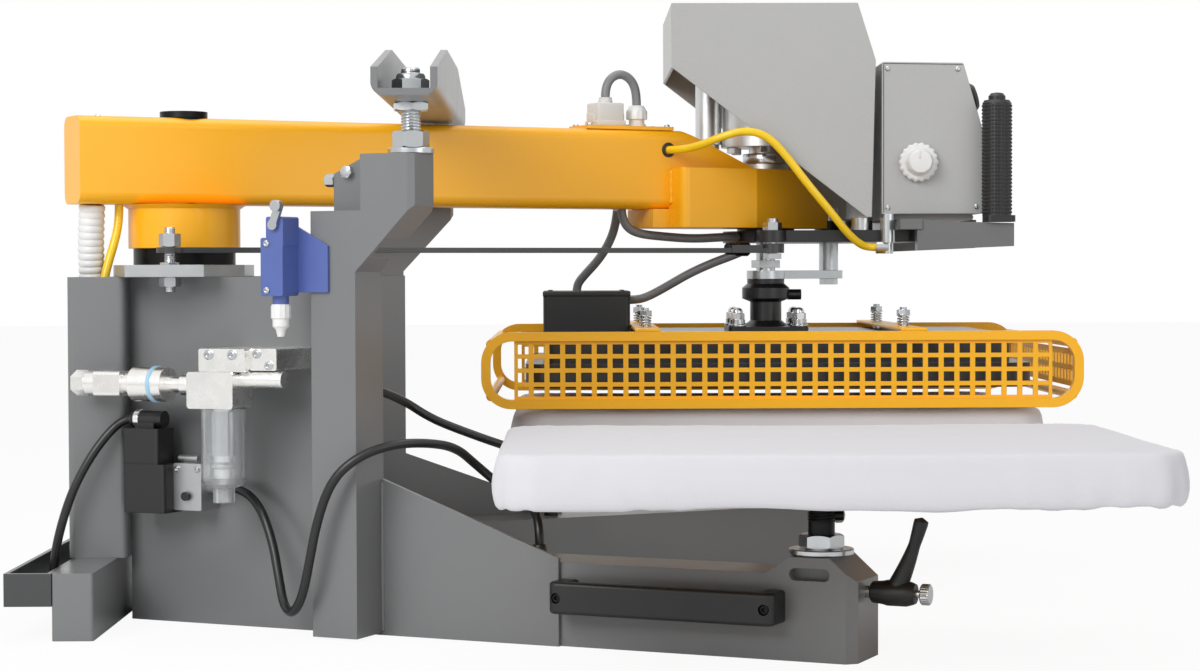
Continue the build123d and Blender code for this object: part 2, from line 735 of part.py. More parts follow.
# Electrical socket and gland on the arm's cover plate
connector_base = arm_top + 3.7
socket_s = 444.0
gland_s = 480.0
with BuildPart() as arm_connector:
    with BuildSketch(arm_plan(connector_base)):
        with Locations((socket_s, 0)):
            RectangleRounded(30, 26, 3)
    extrude(amount=23.4)
    with BuildSketch(arm_plan(connector_base + 23.4)):
        with Locations((socket_s, 0)):
            Circle(6.5)
    extrude(amount=6)
    with BuildSketch(arm_plan(connector_base)):
        with Locations((gland_s, 0)):
            Circle(8)
    extrude(amount=8)
    with BuildSketch(arm_plan(connector_base + 8)):
        with Locations((gland_s, 0)):
            RegularPolygon(9.5, 6, major_radius=False)
    extrude(amount=14)

# Cylinder: spindle that turns in the arm nose, flange, barrel and the side post
barrel_height = 92.0
with BuildPart() as cylinder:
    disc(level(station_x, station_y, head_plate_bottom), spindle_diameter, flange_bottom - head_plate_bottom)
    disc(level(station_x, station_y, nose_top + thrust_gap), 50, 6)
    disc(level(station_x, station_y, flange_bottom), flange_diameter, flange_thickness)
    disc(level(station_x, station_y, barrel_bottom), barrel_diameter, barrel_height)
    disc(level(station_x, station_y, barrel_bottom + barrel_height), 60, 8)
    disc(level(station_x - 60, station_y, 449), 27, 100)
    hexagon(level(station_x - 60, station_y, 444.5), 20, 4.5)
    with BuildSketch(level(station_x - 42, station_y, 520)):
        RectangleRounded(70, 40, 6)
    extrude(amount=12)
    disc(level(station_x, station_y, head_plate_bottom), rod_diameter + 2 * running_fit,
         barrel_bottom + 60 - head_plate_bottom, Mode.SUBTRACT)

# Head plate: carries the spindle, the guide bush, the hood, the box and the link's pin
plate_length = 150.0
plate_half_width = 92.0
spindle_rim = 45.0
hood_foot_y = 80.0
with BuildPart() as head_plate:
    with BuildSketch(level(station_x, station_y, head_plate_bottom)):
        Circle(spindle_rim)
        with Locations((plate_length / 2, 0)):
            RectangleRounded(plate_length, 2 * plate_half_width, 12)
        with Locations((0, -link_offset / 2)):
            Rectangle(30, link_offset)
        with Locations((0, -link_offset)):
            Circle(15)
    extrude(amount=head_plate_thickness)
    disc(level(station_x, station_y, head_plate_top), 60, nose_bottom - head_plate_top - thrust_gap)
    disc(level(station_x + guide_x, station_y + guide_y, head_plate_top), 30, 12)
    disc(level(station_x, station_y, head_plate_bottom - 1), spindle_diameter + 2 * running_fit, 30,
         Mode.SUBTRACT)
    disc(level(station_x + guide_x, station_y + guide_y, head_plate_bottom - 1),
         guide_diameter + 2 * running_fit, 40, Mode.SUBTRACT)
    disc(level(station_x, station_y - link_offset, head_plate_bottom - 1),
         link_pin_diameter + 2 * running_fit, 20, Mode.SUBTRACT)

# Hood over the cylinder: folded sheet, open along its slanted underside
hood_left = 461.4
hood_right = 662.4
hood_top = 585.5
hood_bottom = 370.7
hood_points = [(hood_left, 521.5), (657.4, hood_bottom), (hood_right, hood_bottom), (666.5, 528),
               (648.4, hood_top), (hood_left, hood_top)]
hood_inner = [(hood_left + 2, 400), (630, 360), (hood_right - 2, 360), (664.5, 528),
              (646.4, hood_top - 2), (hood_left + 2, hood_top - 2)]
with BuildPart() as head_cover:
    hood_plane = facing_front(0, station_y, 0)
    with BuildSketch(hood_plane):
        with BuildLine():
            Polyline(*hood_points, close=True)
        make_face()
    extrude(amount=hood_width / 2, both=True)
    with BuildSketch(hood_plane):
        with BuildLine():
            Polyline(*hood_inner, close=True)
        make_face()
    extrude(amount=hood_width / 2 - hood_sheet, both=True, mode=Mode.SUBTRACT)
    for foot_y in (station_y - hood_foot_y, station_y + hood_foot_y):
        block(level(656, foot_y, hood_bottom), 11.5, 24, 2)

# Control box in front of the hood, on the handle bracket
box_left = 673.6
box_bottom = 374.0
box_front = 104.0
stop_hole_depth = 18.0
with BuildPart() as control_box:
    with BuildSketch(facing_front(0, station_y, 0)):
        with BuildLine():
            Polyline((box_left, box_bottom), (775.2, box_bottom), (775.2, 459), (755.8, 525.8),
                     (box_left, 527), close=True)
        make_face()
    extrude(amount=box_front, both=True)
    fillet(control_box.edges().filter_by(Axis.Y).sort_by(Axis.Z)[-2:], 2)
    block(level((box_left + 775.2) / 2 - 4, station_y, 368), 94, 180, 6)
    knob_hole = facing_front(710, station_y - box_front, 425.8)
    disc(Plane(origin=knob_hole.origin, x_dir=(1, 0, 0), z_dir=(0, 1, 0)), 8 + 2 * running_fit, 14,
         Mode.SUBTRACT)
    face_normal = Vector(66.8, 0, 19.4).normalized()
    stop_centre = Vector(765.5, station_y - 54, 492.4)
    disc(Plane(origin=stop_centre - face_normal * stop_hole_depth, z_dir=face_normal),
         12 + 2 * running_fit, stop_hole_depth + 2, Mode.SUBTRACT)

with BuildPart() as side_knob:
    disc(Plane(origin=(710, station_y - box_front + 13, 425.8), z_dir=(0, -1, 0)), 8, 14)
    turned(Plane(origin=(710, station_y - box_front - seat_gap, 425.8), z_dir=(0, -1, 0)),
           [(0, 0), (20, 0), (20, 6), (17, 8), (14, 8), (12, 20), (10, 22), (0, 22)])
    block(facing_front(710, station_y - box_front - 20, 434), 3, 12, 4)

with BuildPart() as stop_button:
    turned(Plane(origin=stop_centre - face_normal * 11, z_dir=face_normal),
           [(0, 0), (6, 0), (6, 15), (14, 15), (15, 19), (12, 22.5), (0, 24)])

# Handle bracket: plate behind the box and two side arms with upright grips
bracket_arm_y = 120.0
grip_x = 787.0
with BuildPart() as handle_bracket:
    block(level(700, station_y, head_plate_top), 22, 2 * bracket_arm_y + 20, 10)
    for side in (-1, 1):
        profile(facing_front(0, station_y + side * bracket_arm_y + 8, 0),
                [(706, 337), (803, 341), (803, 364), (735, 366), (706, 368)], 16)

grip_bottom = 371.5
with BuildPart() as grips:
    for side in (-1, 1):
        grip_y = station_y + side * bracket_arm_y
        with BuildSketch(level(grip_x + 2, grip_y, 365 + seat_gap)) as block_top:
            RectangleRounded(30, 30, 6)
        extrude(block_top.sketch, amount=grip_bottom - 365)
        turned(level(grip_x, grip_y, 0), [(9, grip_bottom), (14.5, grip_bottom), (14.5, 484),
                                          (12.5, 487), (9, 487)])
        disc(level(grip_x, grip_y, grip_bottom), 19, 60)

with BuildPart() as near_thumb_button:
    disc(level(grip_x, station_y - bracket_arm_y, 470), 17, 18)
    turned(level(grip_x, station_y - bracket_arm_y, 488), [(0, 0), (8.5, 0), (8.5, 3), (6, 6), (0, 7)])

with BuildPart() as far_thumb_button:
    disc(level(grip_x, station_y + bracket_arm_y, 470), 17, 18)
    turned(level(grip_x, station_y + bracket_arm_y, 488), [(0, 0), (8.5, 0), (8.5, 3), (6, 6), (0, 7)])

# Head fittings: link pin, hood spacers and the air elbow under the box
elbow_x = 680.0
elbow_y = station_y - 100.0
elbow_z = 340.5
with BuildPart() as head_fittings:
    disc(level(station_x, station_y - link_offset, 330), link_pin_diameter, 39)
    hexagon(level(station_x, station_y - link_offset, 329), 16, 5.5)
    hexagon(level(station_x, station_y - link_offset, head_plate_top), 17, 8)
    disc(level(station_x, station_y - link_offset, head_plate_top + 8), 12, 4)
    for foot_y in (station_y - hood_foot_y, station_y + hood_foot_y):
        disc(level(656, foot_y, head_plate_top), 22, hood_bottom - head_plate_top)
    disc(level(elbow_x, elbow_y, 345), 15, box_bottom - 345)
    disc(level(elbow_x, elbow_y, 334), 11, 11)
    disc(Plane(origin=(elbow_x - 12, elbow_y, elbow_z), z_dir=(1, 0, 0)), 13, 12)

# Piston rod with its lock nut
with BuildPart() as piston_rod:
    disc(level(station_x, station_y, 303.5), rod_diameter, 175)
    hexagon(level(station_x, station_y, 320), 26, 8)

# Torque plate with the guide rod that stops the platen from turning
torque_bottom = 308.4
torque_thickness = 8.7
with BuildPart() as torque_plate:
    with BuildSketch(level(station_x, station_y, torque_bottom)):
        Circle(20)
        with Locations((guide_x, guide_y)):
            Circle(15)
        with Locations(Location((guide_x / 2, guide_y / 2), math.degrees(math.atan2(guide_y, guide_x)))):
            Rectangle(math.hypot(guide_x, guide_y), 28)
        Circle(rod_diameter / 2 + running_fit, mode=Mode.SUBTRACT)
    extrude(amount=torque_thickness)
    disc(level(station_x + guide_x, station_y + guide_y, torque_bottom + torque_thickness),
         guide_diameter, 384 - torque_bottom - torque_thickness)
    hexagon(level(station_x + guide_x, station_y + guide_y, torque_bottom - 6.4), 17, 6.4)

# Platen coupling: foot plate, neck, flare with a thumb screw and clamp ring
with BuildPart() as platen_coupling:
    block(level(station_x, station_y, platen_top), 83, 83, 5, radius=6)
    turned(level(station_x, station_y, 0),
           [(0, platen_top + 5), (24, platen_top + 5), (16.4, platen_top + 11), (16.4, 284.5),
            (24.8, 288), (24.8, 299), (19.5, 303.4), (19.5, torque_bottom), (10.05, torque_bottom),
            (10.05, 303.2), (0, 303.2)])
    disc(facing_x(station_x + 23, station_y, 292), 11, 14)

# Heating platen: cast plate with a stepped back and an insulating edge
with BuildPart() as heat_platen:
    with BuildSketch(level(station_x, station_y, platen_bottom)):
        RectangleRounded(platen_length, platen_width, 18)
    extrude(amount=24)
    with BuildSketch(level(station_x, station_y, platen_bottom + 24)):
        RectangleRounded(platen_length - 36, platen_width - 36, 14)
    extrude(amount=platen_thickness - 24)
    fillet(heat_platen.faces().sort_by(Axis.Z)[0].edges(), 2)

# Terminal box for the heater leads, on the platen's back
terminal_height = 42.0
terminal_top = platen_top + terminal_height
with BuildPart() as terminal_box:
    with BuildSketch(level(376, station_y + 10, platen_top)):
        RectangleRounded(90, 100, 5)
    extrude(amount=terminal_height)
    fillet(terminal_box.faces().sort_by(Axis.Z)[-1].edges(), 3)

# Guard: bar loops round the platen with wire nets on the front, the rear and the right end
net_low = guard_bottom + guard_bar
net_high = guard_top - guard_bar
loop_middle = (guard_bottom + guard_top) / 2
guard_middle_x = 566.0
with BuildPart() as guard:
    for side in (-1, 1):
        rail_plane = Plane(origin=(guard_middle_x, station_y + side * (guard_width / 2 - guard_bar / 2),
                                   loop_middle), x_dir=(1, 0, 0), z_dir=(0, -1, 0))
        with BuildSketch(rail_plane) as loop:
            RectangleRounded(guard_length, guard_height, 30)
            RectangleRounded(guard_length - 2 * guard_bar, guard_height - 2 * guard_bar, 21,
                             mode=Mode.SUBTRACT)
        extrude(loop.sketch, amount=guard_bar / 2, both=True)
    for end in (-1, 1):
        for bar_z in (guard_bottom + 12, guard_top - 12):
            bar_x = guard_middle_x + end * (guard_length / 2 - guard_bar)
            rail = Plane(origin=(bar_x, station_y - guard_width / 2 + guard_bar, bar_z), z_dir=(0, 1, 0))
            disc(rail, guard_bar, guard_width - 2 * guard_bar)

with BuildPart() as guard_nets:
    for side in (-1, 1):
        net_y = station_y + side * (guard_width / 2 - guard_bar / 2) + net_thickness / 2
        with BuildSketch(facing_front(guard_middle_x + 1, net_y, loop_middle)) as net:
            Rectangle(net_columns * net_pitch + 2, net_high - net_low)
            with GridLocations(net_pitch, (net_high - net_low - 2) / net_rows, net_columns, net_rows):
                Rectangle(net_hole, net_hole - 1, mode=Mode.SUBTRACT)
        extrude(net.sketch, amount=net_thickness)
    end_x = guard_middle_x + guard_length / 2 - guard_bar / 2 - net_thickness / 2
    with BuildSketch(facing_x(end_x, station_y, loop_middle)) as end_net:
        Rectangle(guard_width - 2 * guard_bar - 1, net_high - net_low - 20)
        with GridLocations(net_pitch + 0.4, net_pitch, net_end_columns, 2):
            Rectangle(net_hole, net_hole, mode=Mode.SUBTRACT)
    extrude(end_net.sketch, amount=net_thickness)

# Straps across the guard and the spring bolts that hold them to the platen
with BuildPart() as spring_bolts:
    for strap_x in (station_x - 130, station_x + 130):
        with BuildSketch(level(strap_x, station_y, guard_top)) as strap:
            Rectangle(strap_width, guard_width)
        extrude(strap.sketch, amount=strap_thickness)
        for bolt_y in (station_y - 110, station_y + 110):
            disc(level(strap_x, bolt_y, platen_top), 8, 20)
            turned(level(strap_x, bolt_y, guard_top + strap_thickness),
                   [(4, 0), (7, 0), (7, 1.5), (6, 3), (7, 4.5), (6, 6), (7, 7.5), (6, 9), (7, 10.5), (4, 10.5)])
            hexagon(level(strap_x, bolt_y, guard_top + strap_thickness + 10.5), 13, 6)

# Link bar that keeps the head square: fixed pin at the base, loose pin at the head
with BuildPart() as link_bar:
    with BuildSketch(Plane(origin=(0, -link_offset, link_bottom), x_dir=(arm_cos, arm_sin, 0))):
        with Locations((arm_reach / 2, 0)):
            SlotCenterToCenter(arm_reach, link_width)
        with Locations((0, 0), (arm_reach, 0)):
            Circle(12)
        Circle(link_pin_diameter / 2 + running_fit, mode=Mode.SUBTRACT)
        with Locations((arm_reach, 0)):
            Circle(link_pin_diameter / 2 + pin_play, mode=Mode.SUBTRACT)
    extrude(amount=link_thickness)
    with BuildSketch(Plane(origin=(0, -link_offset, link_top), x_dir=(arm_cos, arm_sin, 0))):
        with Locations((arm_reach, 0)):
            Circle(12)
            Circle(link_pin_diameter / 2 + pin_play, mode=Mode.SUBTRACT)
    extrude(amount=4.5)
    with BuildSketch(Plane(origin=(0, -link_offset, link_bottom), x_dir=(arm_cos, arm_sin, 0))):
        with Locations((arm_reach - 34, 0)):
            Rectangle(36, 16)
    extrude(amount=8)

# Cords and hoses
with BuildPart() as base_hoses:
    cord("supply cable", [leg_point(-22.6, coil_axis, 186), leg_point(-32, coil_axis, 186),
                          (-57, -80, 174), (-73, -85, 152), (-88, -87, 124), (-99, -87, 92),
                          (-106, -86, 62), (-108, -85, tray_bottom + tray_wall + seat_gap)], 8)
    cord("air hose", [leg_point(valve_end + 12, valve_axis, valve_z), leg_point(80, valve_axis, valve_z),
                      leg_point(102, -22, 112), leg_point(120, -30, 82), leg_point(134, -42, 50),
                      leg_point(146, -54, 28), leg_point(160, -63, 22), leg_point(172, -66, 38),
                      leg_point(180, -67, 70), leg_point(188, -67, 106), leg_point(202, -67, 140),
                      leg_point(222, -58, 160), leg_point(244, -36, 170), leg_point(262, -8, 170),
                      leg_point(272, 28, 164), (276, -128, 146), (301, -124, 124), (323, -145, 112),
                      leg_point(near_gland_s, leg_axis, 104),
                      leg_point(near_gland_s, leg_axis, gland_top + seat_gap)], 8)
    heater_end = leg_point(far_gland_s, leg_axis, 0)
    cord("heater feed", [leg_point(150, seat_gap, 222), (175, -70, 214), (203, -26, 199.6),
                         (228.7, -20, 181.9), (256.4, -20, 170.6), (293.4, -18, 157), (318, 4, 148),
                         (334, 48, 130), (340, 100, 113), (341, 145, 104),
                         (heater_end[0], -heater_end[1], 102),
                         (heater_end[0], -heater_end[1], gland_top + seat_gap)], 8)

with BuildPart() as swing_hose:
    cord("swing hose", [(-55.3, -30, arm_bottom - seat_gap), (-55.3, -30, 366), (-58, -35, 348),
                        (-63, -42, 328), (-67, -46, 309), (-69, -47, 290)], 8)

# Ribbed conduit from the arm into the column, with its bore
conduit_ribs = 14
conduit_outer = 24.0
conduit_inner = 19.0


def conduit_section(share):
    """Level plane on the conduit's gently curved middle line, at a share of its height."""
    bow = math.sin(share * math.pi) * -2
    start = Vector(-78.0, -40.0, arm_bottom - seat_gap)
    finish = Vector(-79.0, -30.0, 292.0)
    point = start + (finish - start) * share
    return level(point.X + bow, point.Y, point.Z)


with BuildPart() as conduit:
    rings = []
    for rib in range(conduit_ribs):
        for part_share, width in ((0.0, 22.0), (0.25, conduit_outer), (0.6, conduit_outer), (0.85, 22.0)):
            with BuildSketch(conduit_section((rib + part_share) / conduit_ribs)) as ring:
                Circle(width / 2)
            rings.append(ring.sketch.face())
    with BuildSketch(conduit_section(1.0)) as ring:
        Circle(11)
    rings.append(ring.sketch.face())
    loft(rings, ruled=True)
    bore = []
    for step in range(9):
        with BuildSketch(conduit_section(step / 8)) as hole:
            Circle(conduit_inner / 2)
        bore.append(hole.sketch.face())
    loft(bore, ruled=True, mode=Mode.SUBTRACT)

with BuildPart() as nose_hose:
    cord("nose hose", [arm_point(503, -26, 440), (474, 190, 439.5), (490, 176, 443), (509.6, 166, 451),
                       (534.2, 162, 457.5), (556, 161, 452), (575, 161, 432), (595, 161, 405),
                       (619.7, 165, 376), (636, 172, 356), (650, 182, 344), (660, elbow_y, elbow_z),
                       (elbow_x - 12, elbow_y, elbow_z)], 8)

with BuildPart() as head_cables:
    cord("heater lead one", [(407.5, 234, 379.5), (406, 238, 364), (399, 248, 345), (388, 262, 328),
                             (374, 276, 313), (366, 282, 303), (366, 282, terminal_top)], 9)
    cord("heater lead two", [(544, 250, 340), (528, 254, 333), (506, 258, 325), (482, 264, 314),
                             (460, 272, 301), (442, 279, 291), (430, 281, 287), (421.3, 281, 287)], 9)

with BuildPart() as connector_loop:
    cord("connector loop", [arm_point(socket_s, 0, connector_base + 29.4), arm_point(socket_s, 0, 502),
                            arm_point(450, 0, 513), arm_point(462, 0, 518), arm_point(474, 0, 512),
                            arm_point(gland_s, 0, 499), arm_point(gland_s, 0, connector_base + 22)], 9)
    rim = (spindle_rim + 2 * seat_gap) / math.sqrt(2)
    cord("head cable", [(411.6, 214, arm_bottom - seat_gap), (412.5, 214.5, 367), (425, 221, 355.5),
                        (458, 233, 352), (487, 239, 350), (station_x - rim - 12, station_y - rim - 12, 352),
                        (station_x - rim, station_y - rim, 352)], 9)

nodes = {
    "rear_beam": rear_beam, "rear_column": rear_column, "cable_tray": cable_tray,
    "side_panels": side_panels, "near_leg": near_leg, "far_leg": far_leg,
    "carry_handles": carry_handles, "near_post": near_post, "far_post": far_post,
    "crossbar": crossbar, "bearing_housing": bearing_housing, "pivot_shaft": pivot_shaft,
    "frame_fasteners": frame_fasteners, "limit_switch": limit_switch,
    "switch_lever": switch_lever, "filter_head": filter_head, "filter_bowl": filter_bowl,
    "air_fittings": air_fittings, "coupling_sleeve": coupling_sleeve, "valve_body": valve_body,
    "valve_coil": valve_coil, "override_button": override_button, "near_lever": near_lever,
    "far_lever": far_lever, "near_column": near_column, "far_column": far_column,
    "near_board": near_board, "far_board": far_board, "near_cover": near_cover,
    "far_cover": far_cover, "arm_tube": arm_tube, "pivot_hub": pivot_hub, "arm_nose": arm_nose,
    "arm_connector": arm_connector, "cylinder": cylinder, "head_plate": head_plate,
    "head_cover": head_cover, "control_box": control_box, "side_knob": side_knob,
    "stop_button": stop_button, "handle_bracket": handle_bracket, "grips": grips,
    "near_thumb_button": near_thumb_button, "far_thumb_button": far_thumb_button,
    "head_fittings": head_fittings, "piston_rod": piston_rod, "torque_plate": torque_plate,
    "platen_coupling": platen_coupling, "heat_platen": heat_platen, "terminal_box": terminal_box,
    "guard": guard, "guard_nets": guard_nets, "spring_bolts": spring_bolts, "link_bar": link_bar,
    "base_hoses": base_hoses, "swing_hose": swing_hose, "conduit": conduit,
    "nose_hose": nose_hose, "head_cables": head_cables, "connector_loop": connector_loop,
}
for name, piece in nodes.items():
    piece.part.label = name
    export_step(piece.part, f"parts/{name}.step")
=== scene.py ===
"""Looks of a two-station swing-arm heat press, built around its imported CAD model.

Sizes in the classes are millimetres, like a shop drawing, and MM turns them into metres.
"""
import logging
import math
from dataclasses import dataclass
from enum import Enum
from typing import Any, Callable, Iterable, Sequence

import bmesh
import bpy
from mathutils import Matrix, Vector, noise


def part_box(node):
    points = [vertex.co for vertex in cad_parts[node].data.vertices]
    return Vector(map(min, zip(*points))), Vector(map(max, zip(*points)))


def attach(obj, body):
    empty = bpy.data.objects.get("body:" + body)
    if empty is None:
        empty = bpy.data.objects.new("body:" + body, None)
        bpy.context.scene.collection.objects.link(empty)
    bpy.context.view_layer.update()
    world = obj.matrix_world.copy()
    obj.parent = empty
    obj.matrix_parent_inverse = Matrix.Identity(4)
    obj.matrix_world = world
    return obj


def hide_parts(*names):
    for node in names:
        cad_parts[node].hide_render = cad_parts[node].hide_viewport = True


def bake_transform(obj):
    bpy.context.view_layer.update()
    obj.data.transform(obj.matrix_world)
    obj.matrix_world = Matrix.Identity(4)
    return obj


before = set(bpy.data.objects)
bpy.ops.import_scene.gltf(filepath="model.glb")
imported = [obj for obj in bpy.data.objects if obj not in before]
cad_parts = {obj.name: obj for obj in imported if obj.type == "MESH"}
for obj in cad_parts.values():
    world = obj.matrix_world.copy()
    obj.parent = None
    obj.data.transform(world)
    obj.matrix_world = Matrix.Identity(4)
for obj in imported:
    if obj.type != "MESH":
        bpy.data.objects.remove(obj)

LOG = logging.getLogger("press")
MM = 0.001
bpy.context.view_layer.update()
UP = Vector((0, 0, 1))
CORNERS = ((-1, -1), (1, -1), (1, 1), (-1, 1))

Point = tuple[float, float, float]
Ring = list[Vector]
Outline = Sequence[tuple[float, float]]
Shape = Callable[[float, float], float]
Piece = bpy.types.Object
Tree = bpy.types.NodeTree
Socket = bpy.types.NodeSocket


@dataclass(frozen=True)
class Layout:
    """The machine's main sizes, the same as in the CAD source."""

    arm_reach: float = 634.0
    station_angle: float = 27.1
    leg_angle: float = 25.0
    leg_width: float = 60.0
    link_offset: float = 86.0
    near_gland: float = 352.0
    far_gland: float = 360.0

    @property
    def station(self) -> tuple[float, float]:
        """X and Y of the far station, where the head stands."""
        turn = math.radians(self.station_angle)
        return self.arm_reach * math.cos(turn), self.arm_reach * math.sin(turn)

    @property
    def apex(self) -> float:
        """Distance of the near leg's outer face from the middle line, at X = 0."""
        x, y = self.station
        turn = math.radians(self.leg_angle)
        return y - x * math.tan(turn) + self.leg_width / 2 / math.cos(turn)

    def leg(self, along: float, inward: float, height: float, side: int = 1) -> Point:
        """A point in a leg's own measures.

        Args:
            along: distance along the leg.
            inward: distance from its outer face, towards the machine's middle.
            height: height over the floor.
            side: 1 for the near leg, -1 for the far one.

        Returns:
            The point in millimetres.
        """
        turn = math.radians(self.leg_angle)
        x = along * math.cos(turn) + inward * math.sin(turn)
        y = -self.apex - along * math.sin(turn) + inward * math.cos(turn)
        return x, y * side, height

    def leg_direction(self, side: int = 1) -> Vector:
        """Unit vector along a leg."""
        turn = math.radians(self.leg_angle)
        return Vector((math.cos(turn), -math.sin(turn) * side, 0))

    def leg_outward(self, side: int = 1) -> Vector:
        """Unit vector square to a leg's outer face, away from the machine."""
        turn = math.radians(self.leg_angle)
        return Vector((-math.sin(turn), -math.cos(turn) * side, 0))

    def arm_direction(self) -> Vector:
        """Unit vector along the arm."""
        turn = math.radians(self.station_angle)
        return Vector((math.cos(turn), math.sin(turn), 0))

    def arm(self, along: float, across: float, height: float) -> Point:
        """A point in the swing arm's own measures.

        Args:
            along: distance along the arm from its pivot.
            across: distance across it, towards the far side.
            height: height over the floor.

        Returns:
            The point in millimetres.
        """
        turn = math.radians(self.station_angle)
        return (along * math.cos(turn) - across * math.sin(turn),
                along * math.sin(turn) + across * math.cos(turn), height)


LAYOUT = Layout()
STATION_X, STATION_Y = LAYOUT.station
LEG_MIDDLE = LAYOUT.leg_width / 2


def metres(point: Iterable[float]) -> Vector:
    """A point in millimetres as a vector in metres."""
    return Vector([c * MM for c in point])


def linear(code: str) -> tuple[float, float, float, float]:
    """Turns an sRGB hex colour into linear red, green, blue and alpha.

    Args:
        code: six hex digits, with or without the hash.

    Returns:
        Four numbers for a colour socket.
    """
    digits = code.lstrip("#")
    parts = [int(digits[i:i + 2], 16) / 255 for i in (0, 2, 4)]
    values = [p / 12.92 if p <= 0.04045 else ((p + 0.055) / 1.055) ** 2.4 for p in parts]
    return values[0], values[1], values[2], 1.0


def add_node(tree: Tree, kind: str, settings: dict[str, Any] | None = None,
             values: dict[Any, Any] | None = None,
             links: dict[Any, Socket] | None = None) -> bpy.types.Node:
    """Adds one node with its settings, socket values and links.

    Args:
        tree: the material's or world's node tree.
        kind: the node's type name.
        settings: attributes of the node.
        values: default values by input name or number.
        links: sockets that feed the inputs, by input name or number.

    Returns:
        The new node.
    """
    node = tree.nodes.new(kind)
    for key, value in (settings or {}).items():
        setattr(node, key, value)
    for key, value in (values or {}).items():
        node.inputs[key].default_value = value
    for key, socket in (links or {}).items():
        tree.links.new(socket, node.inputs[key])
    return node


def empty_tree(owner: bpy.types.Material | bpy.types.World) -> Tree:
    """Turns a material's or world's nodes on and clears them.

    Args:
        owner: the material or world.

    Returns:
        Its empty node tree.
    """
    owner.use_nodes = True
    owner.node_tree.nodes.clear()
    return owner.node_tree


def per_metre(size_mm: float) -> float:
    """Noise or cell scale that gives features of this size, with coordinates in metres."""
    return 1000.0 / size_mm


def bands(period_mm: float) -> float:
    """Wave texture scale for bands this far apart, with coordinates in metres."""
    return 2 * math.pi / 20 / (period_mm * MM)


@dataclass(frozen=True)
class Finish:
    """What every finish has: a name, a base colour and how rough it is."""

    name: str
    colour: str
    roughness: float = 0.4

    def start(self, constants: dict[str, float] | None = None
              ) -> tuple[bpy.types.Material, Tree, bpy.types.Node, Socket]:
        """Makes the material with its shader.

        Args:
            constants: values of the shader's sockets.

        Returns:
            The material, its tree, the shader node and the object coordinates.
        """
        material = bpy.data.materials.new(self.name)
        tree = empty_tree(material)
        shader = add_node(tree, "ShaderNodeBsdfPrincipled",
                          values={"Roughness": self.roughness, **(constants or {})})
        add_node(tree, "ShaderNodeOutputMaterial", links={"Surface": shader.outputs["BSDF"]})
        where = add_node(tree, "ShaderNodeTexCoord").outputs["Object"]
        return material, tree, shader, where

    def tinted(self, tree: Tree, where: Socket, patch_mm: float, amount: float) -> Socket:
        """The base colour with soft lighter and darker patches.

        Args:
            tree: the material's tree.
            where: coordinates in metres.
            patch_mm: size of the patches.
            amount: how far the brightness goes up and down, as a share.

        Returns:
            The colour socket.
        """
        cloud = add_node(tree, "ShaderNodeTexNoise",
                         values={"Scale": per_metre(patch_mm), "Detail": 3.0},
                         links={"Vector": where})
        level = add_node(tree, "ShaderNodeMapRange",
                         values={"To Min": 1 - amount, "To Max": 1 + amount},
                         links={"Value": cloud.outputs["Fac"]})
        tint = add_node(tree, "ShaderNodeHueSaturation", values={"Color": linear(self.colour)},
                        links={"Value": level.outputs["Result"]})
        return tint.outputs["Color"]

    def uneven(self, tree: Tree, where: Socket, patch_mm: float, amount: float) -> Socket:
        """Roughness that differs from place to place, as on wiped and touched surfaces.

        Args:
            tree: the material's tree.
            where: coordinates in metres.
            patch_mm: size of the patches.
            amount: how far the roughness goes up and down.

        Returns:
            The roughness socket.
        """
        cloud = add_node(tree, "ShaderNodeTexNoise",
                         values={"Scale": per_metre(patch_mm), "Detail": 4.0},
                         links={"Vector": where})
        level = add_node(tree, "ShaderNodeMapRange",
                         values={"To Min": max(0.02, self.roughness - amount),
                                 "To Max": self.roughness + amount},
                         links={"Value": cloud.outputs["Fac"]})
        return level.outputs["Result"]

    def surface(self, tree: Tree, shader: bpy.types.Node, where: Socket, relief: Socket,
                bump: tuple[float, float], normal: Socket | None = None,
                tint: tuple[float, float] | None = None,
                wipe: tuple[float, float] | None = None) -> None:
        """Links fine relief, and where asked patchy colour and roughness, to the shader.

        Args:
            tree: the material's tree.
            shader: its shader.
            where: coordinates in metres.
            relief: height of the relief.
            bump: strength of the relief, and its depth in metres.
            normal: the normals under the relief.
            tint: patch size in millimetres and amount for tinted().
            wipe: patch size in millimetres and amount for uneven().
        """
        under = {} if normal is None else {"Normal": normal}
        grain = add_node(tree, "ShaderNodeBump", values={"Strength": bump[0], "Distance": bump[1]},
                         links={"Height": relief, **under})
        tree.links.new(grain.outputs["Normal"], shader.inputs["Normal"])
        if tint:
            tree.links.new(self.tinted(tree, where, *tint), shader.inputs["Base Color"])
        if wipe:
            tree.links.new(self.uneven(tree, where, *wipe), shader.inputs["Roughness"])

    def build(self) -> bpy.types.Material:
        """Makes the material; every finish has its own."""
        raise NotImplementedError


class Coat(Enum):
    """How a powder coat flows out as it bakes: strength of its relief, and depth in metres."""

    SMOOTH = (0.06, 0.0004)
    ORANGE_PEEL = (0.16, 0.0004)
    HAMMERED = (0.42, 0.00035)


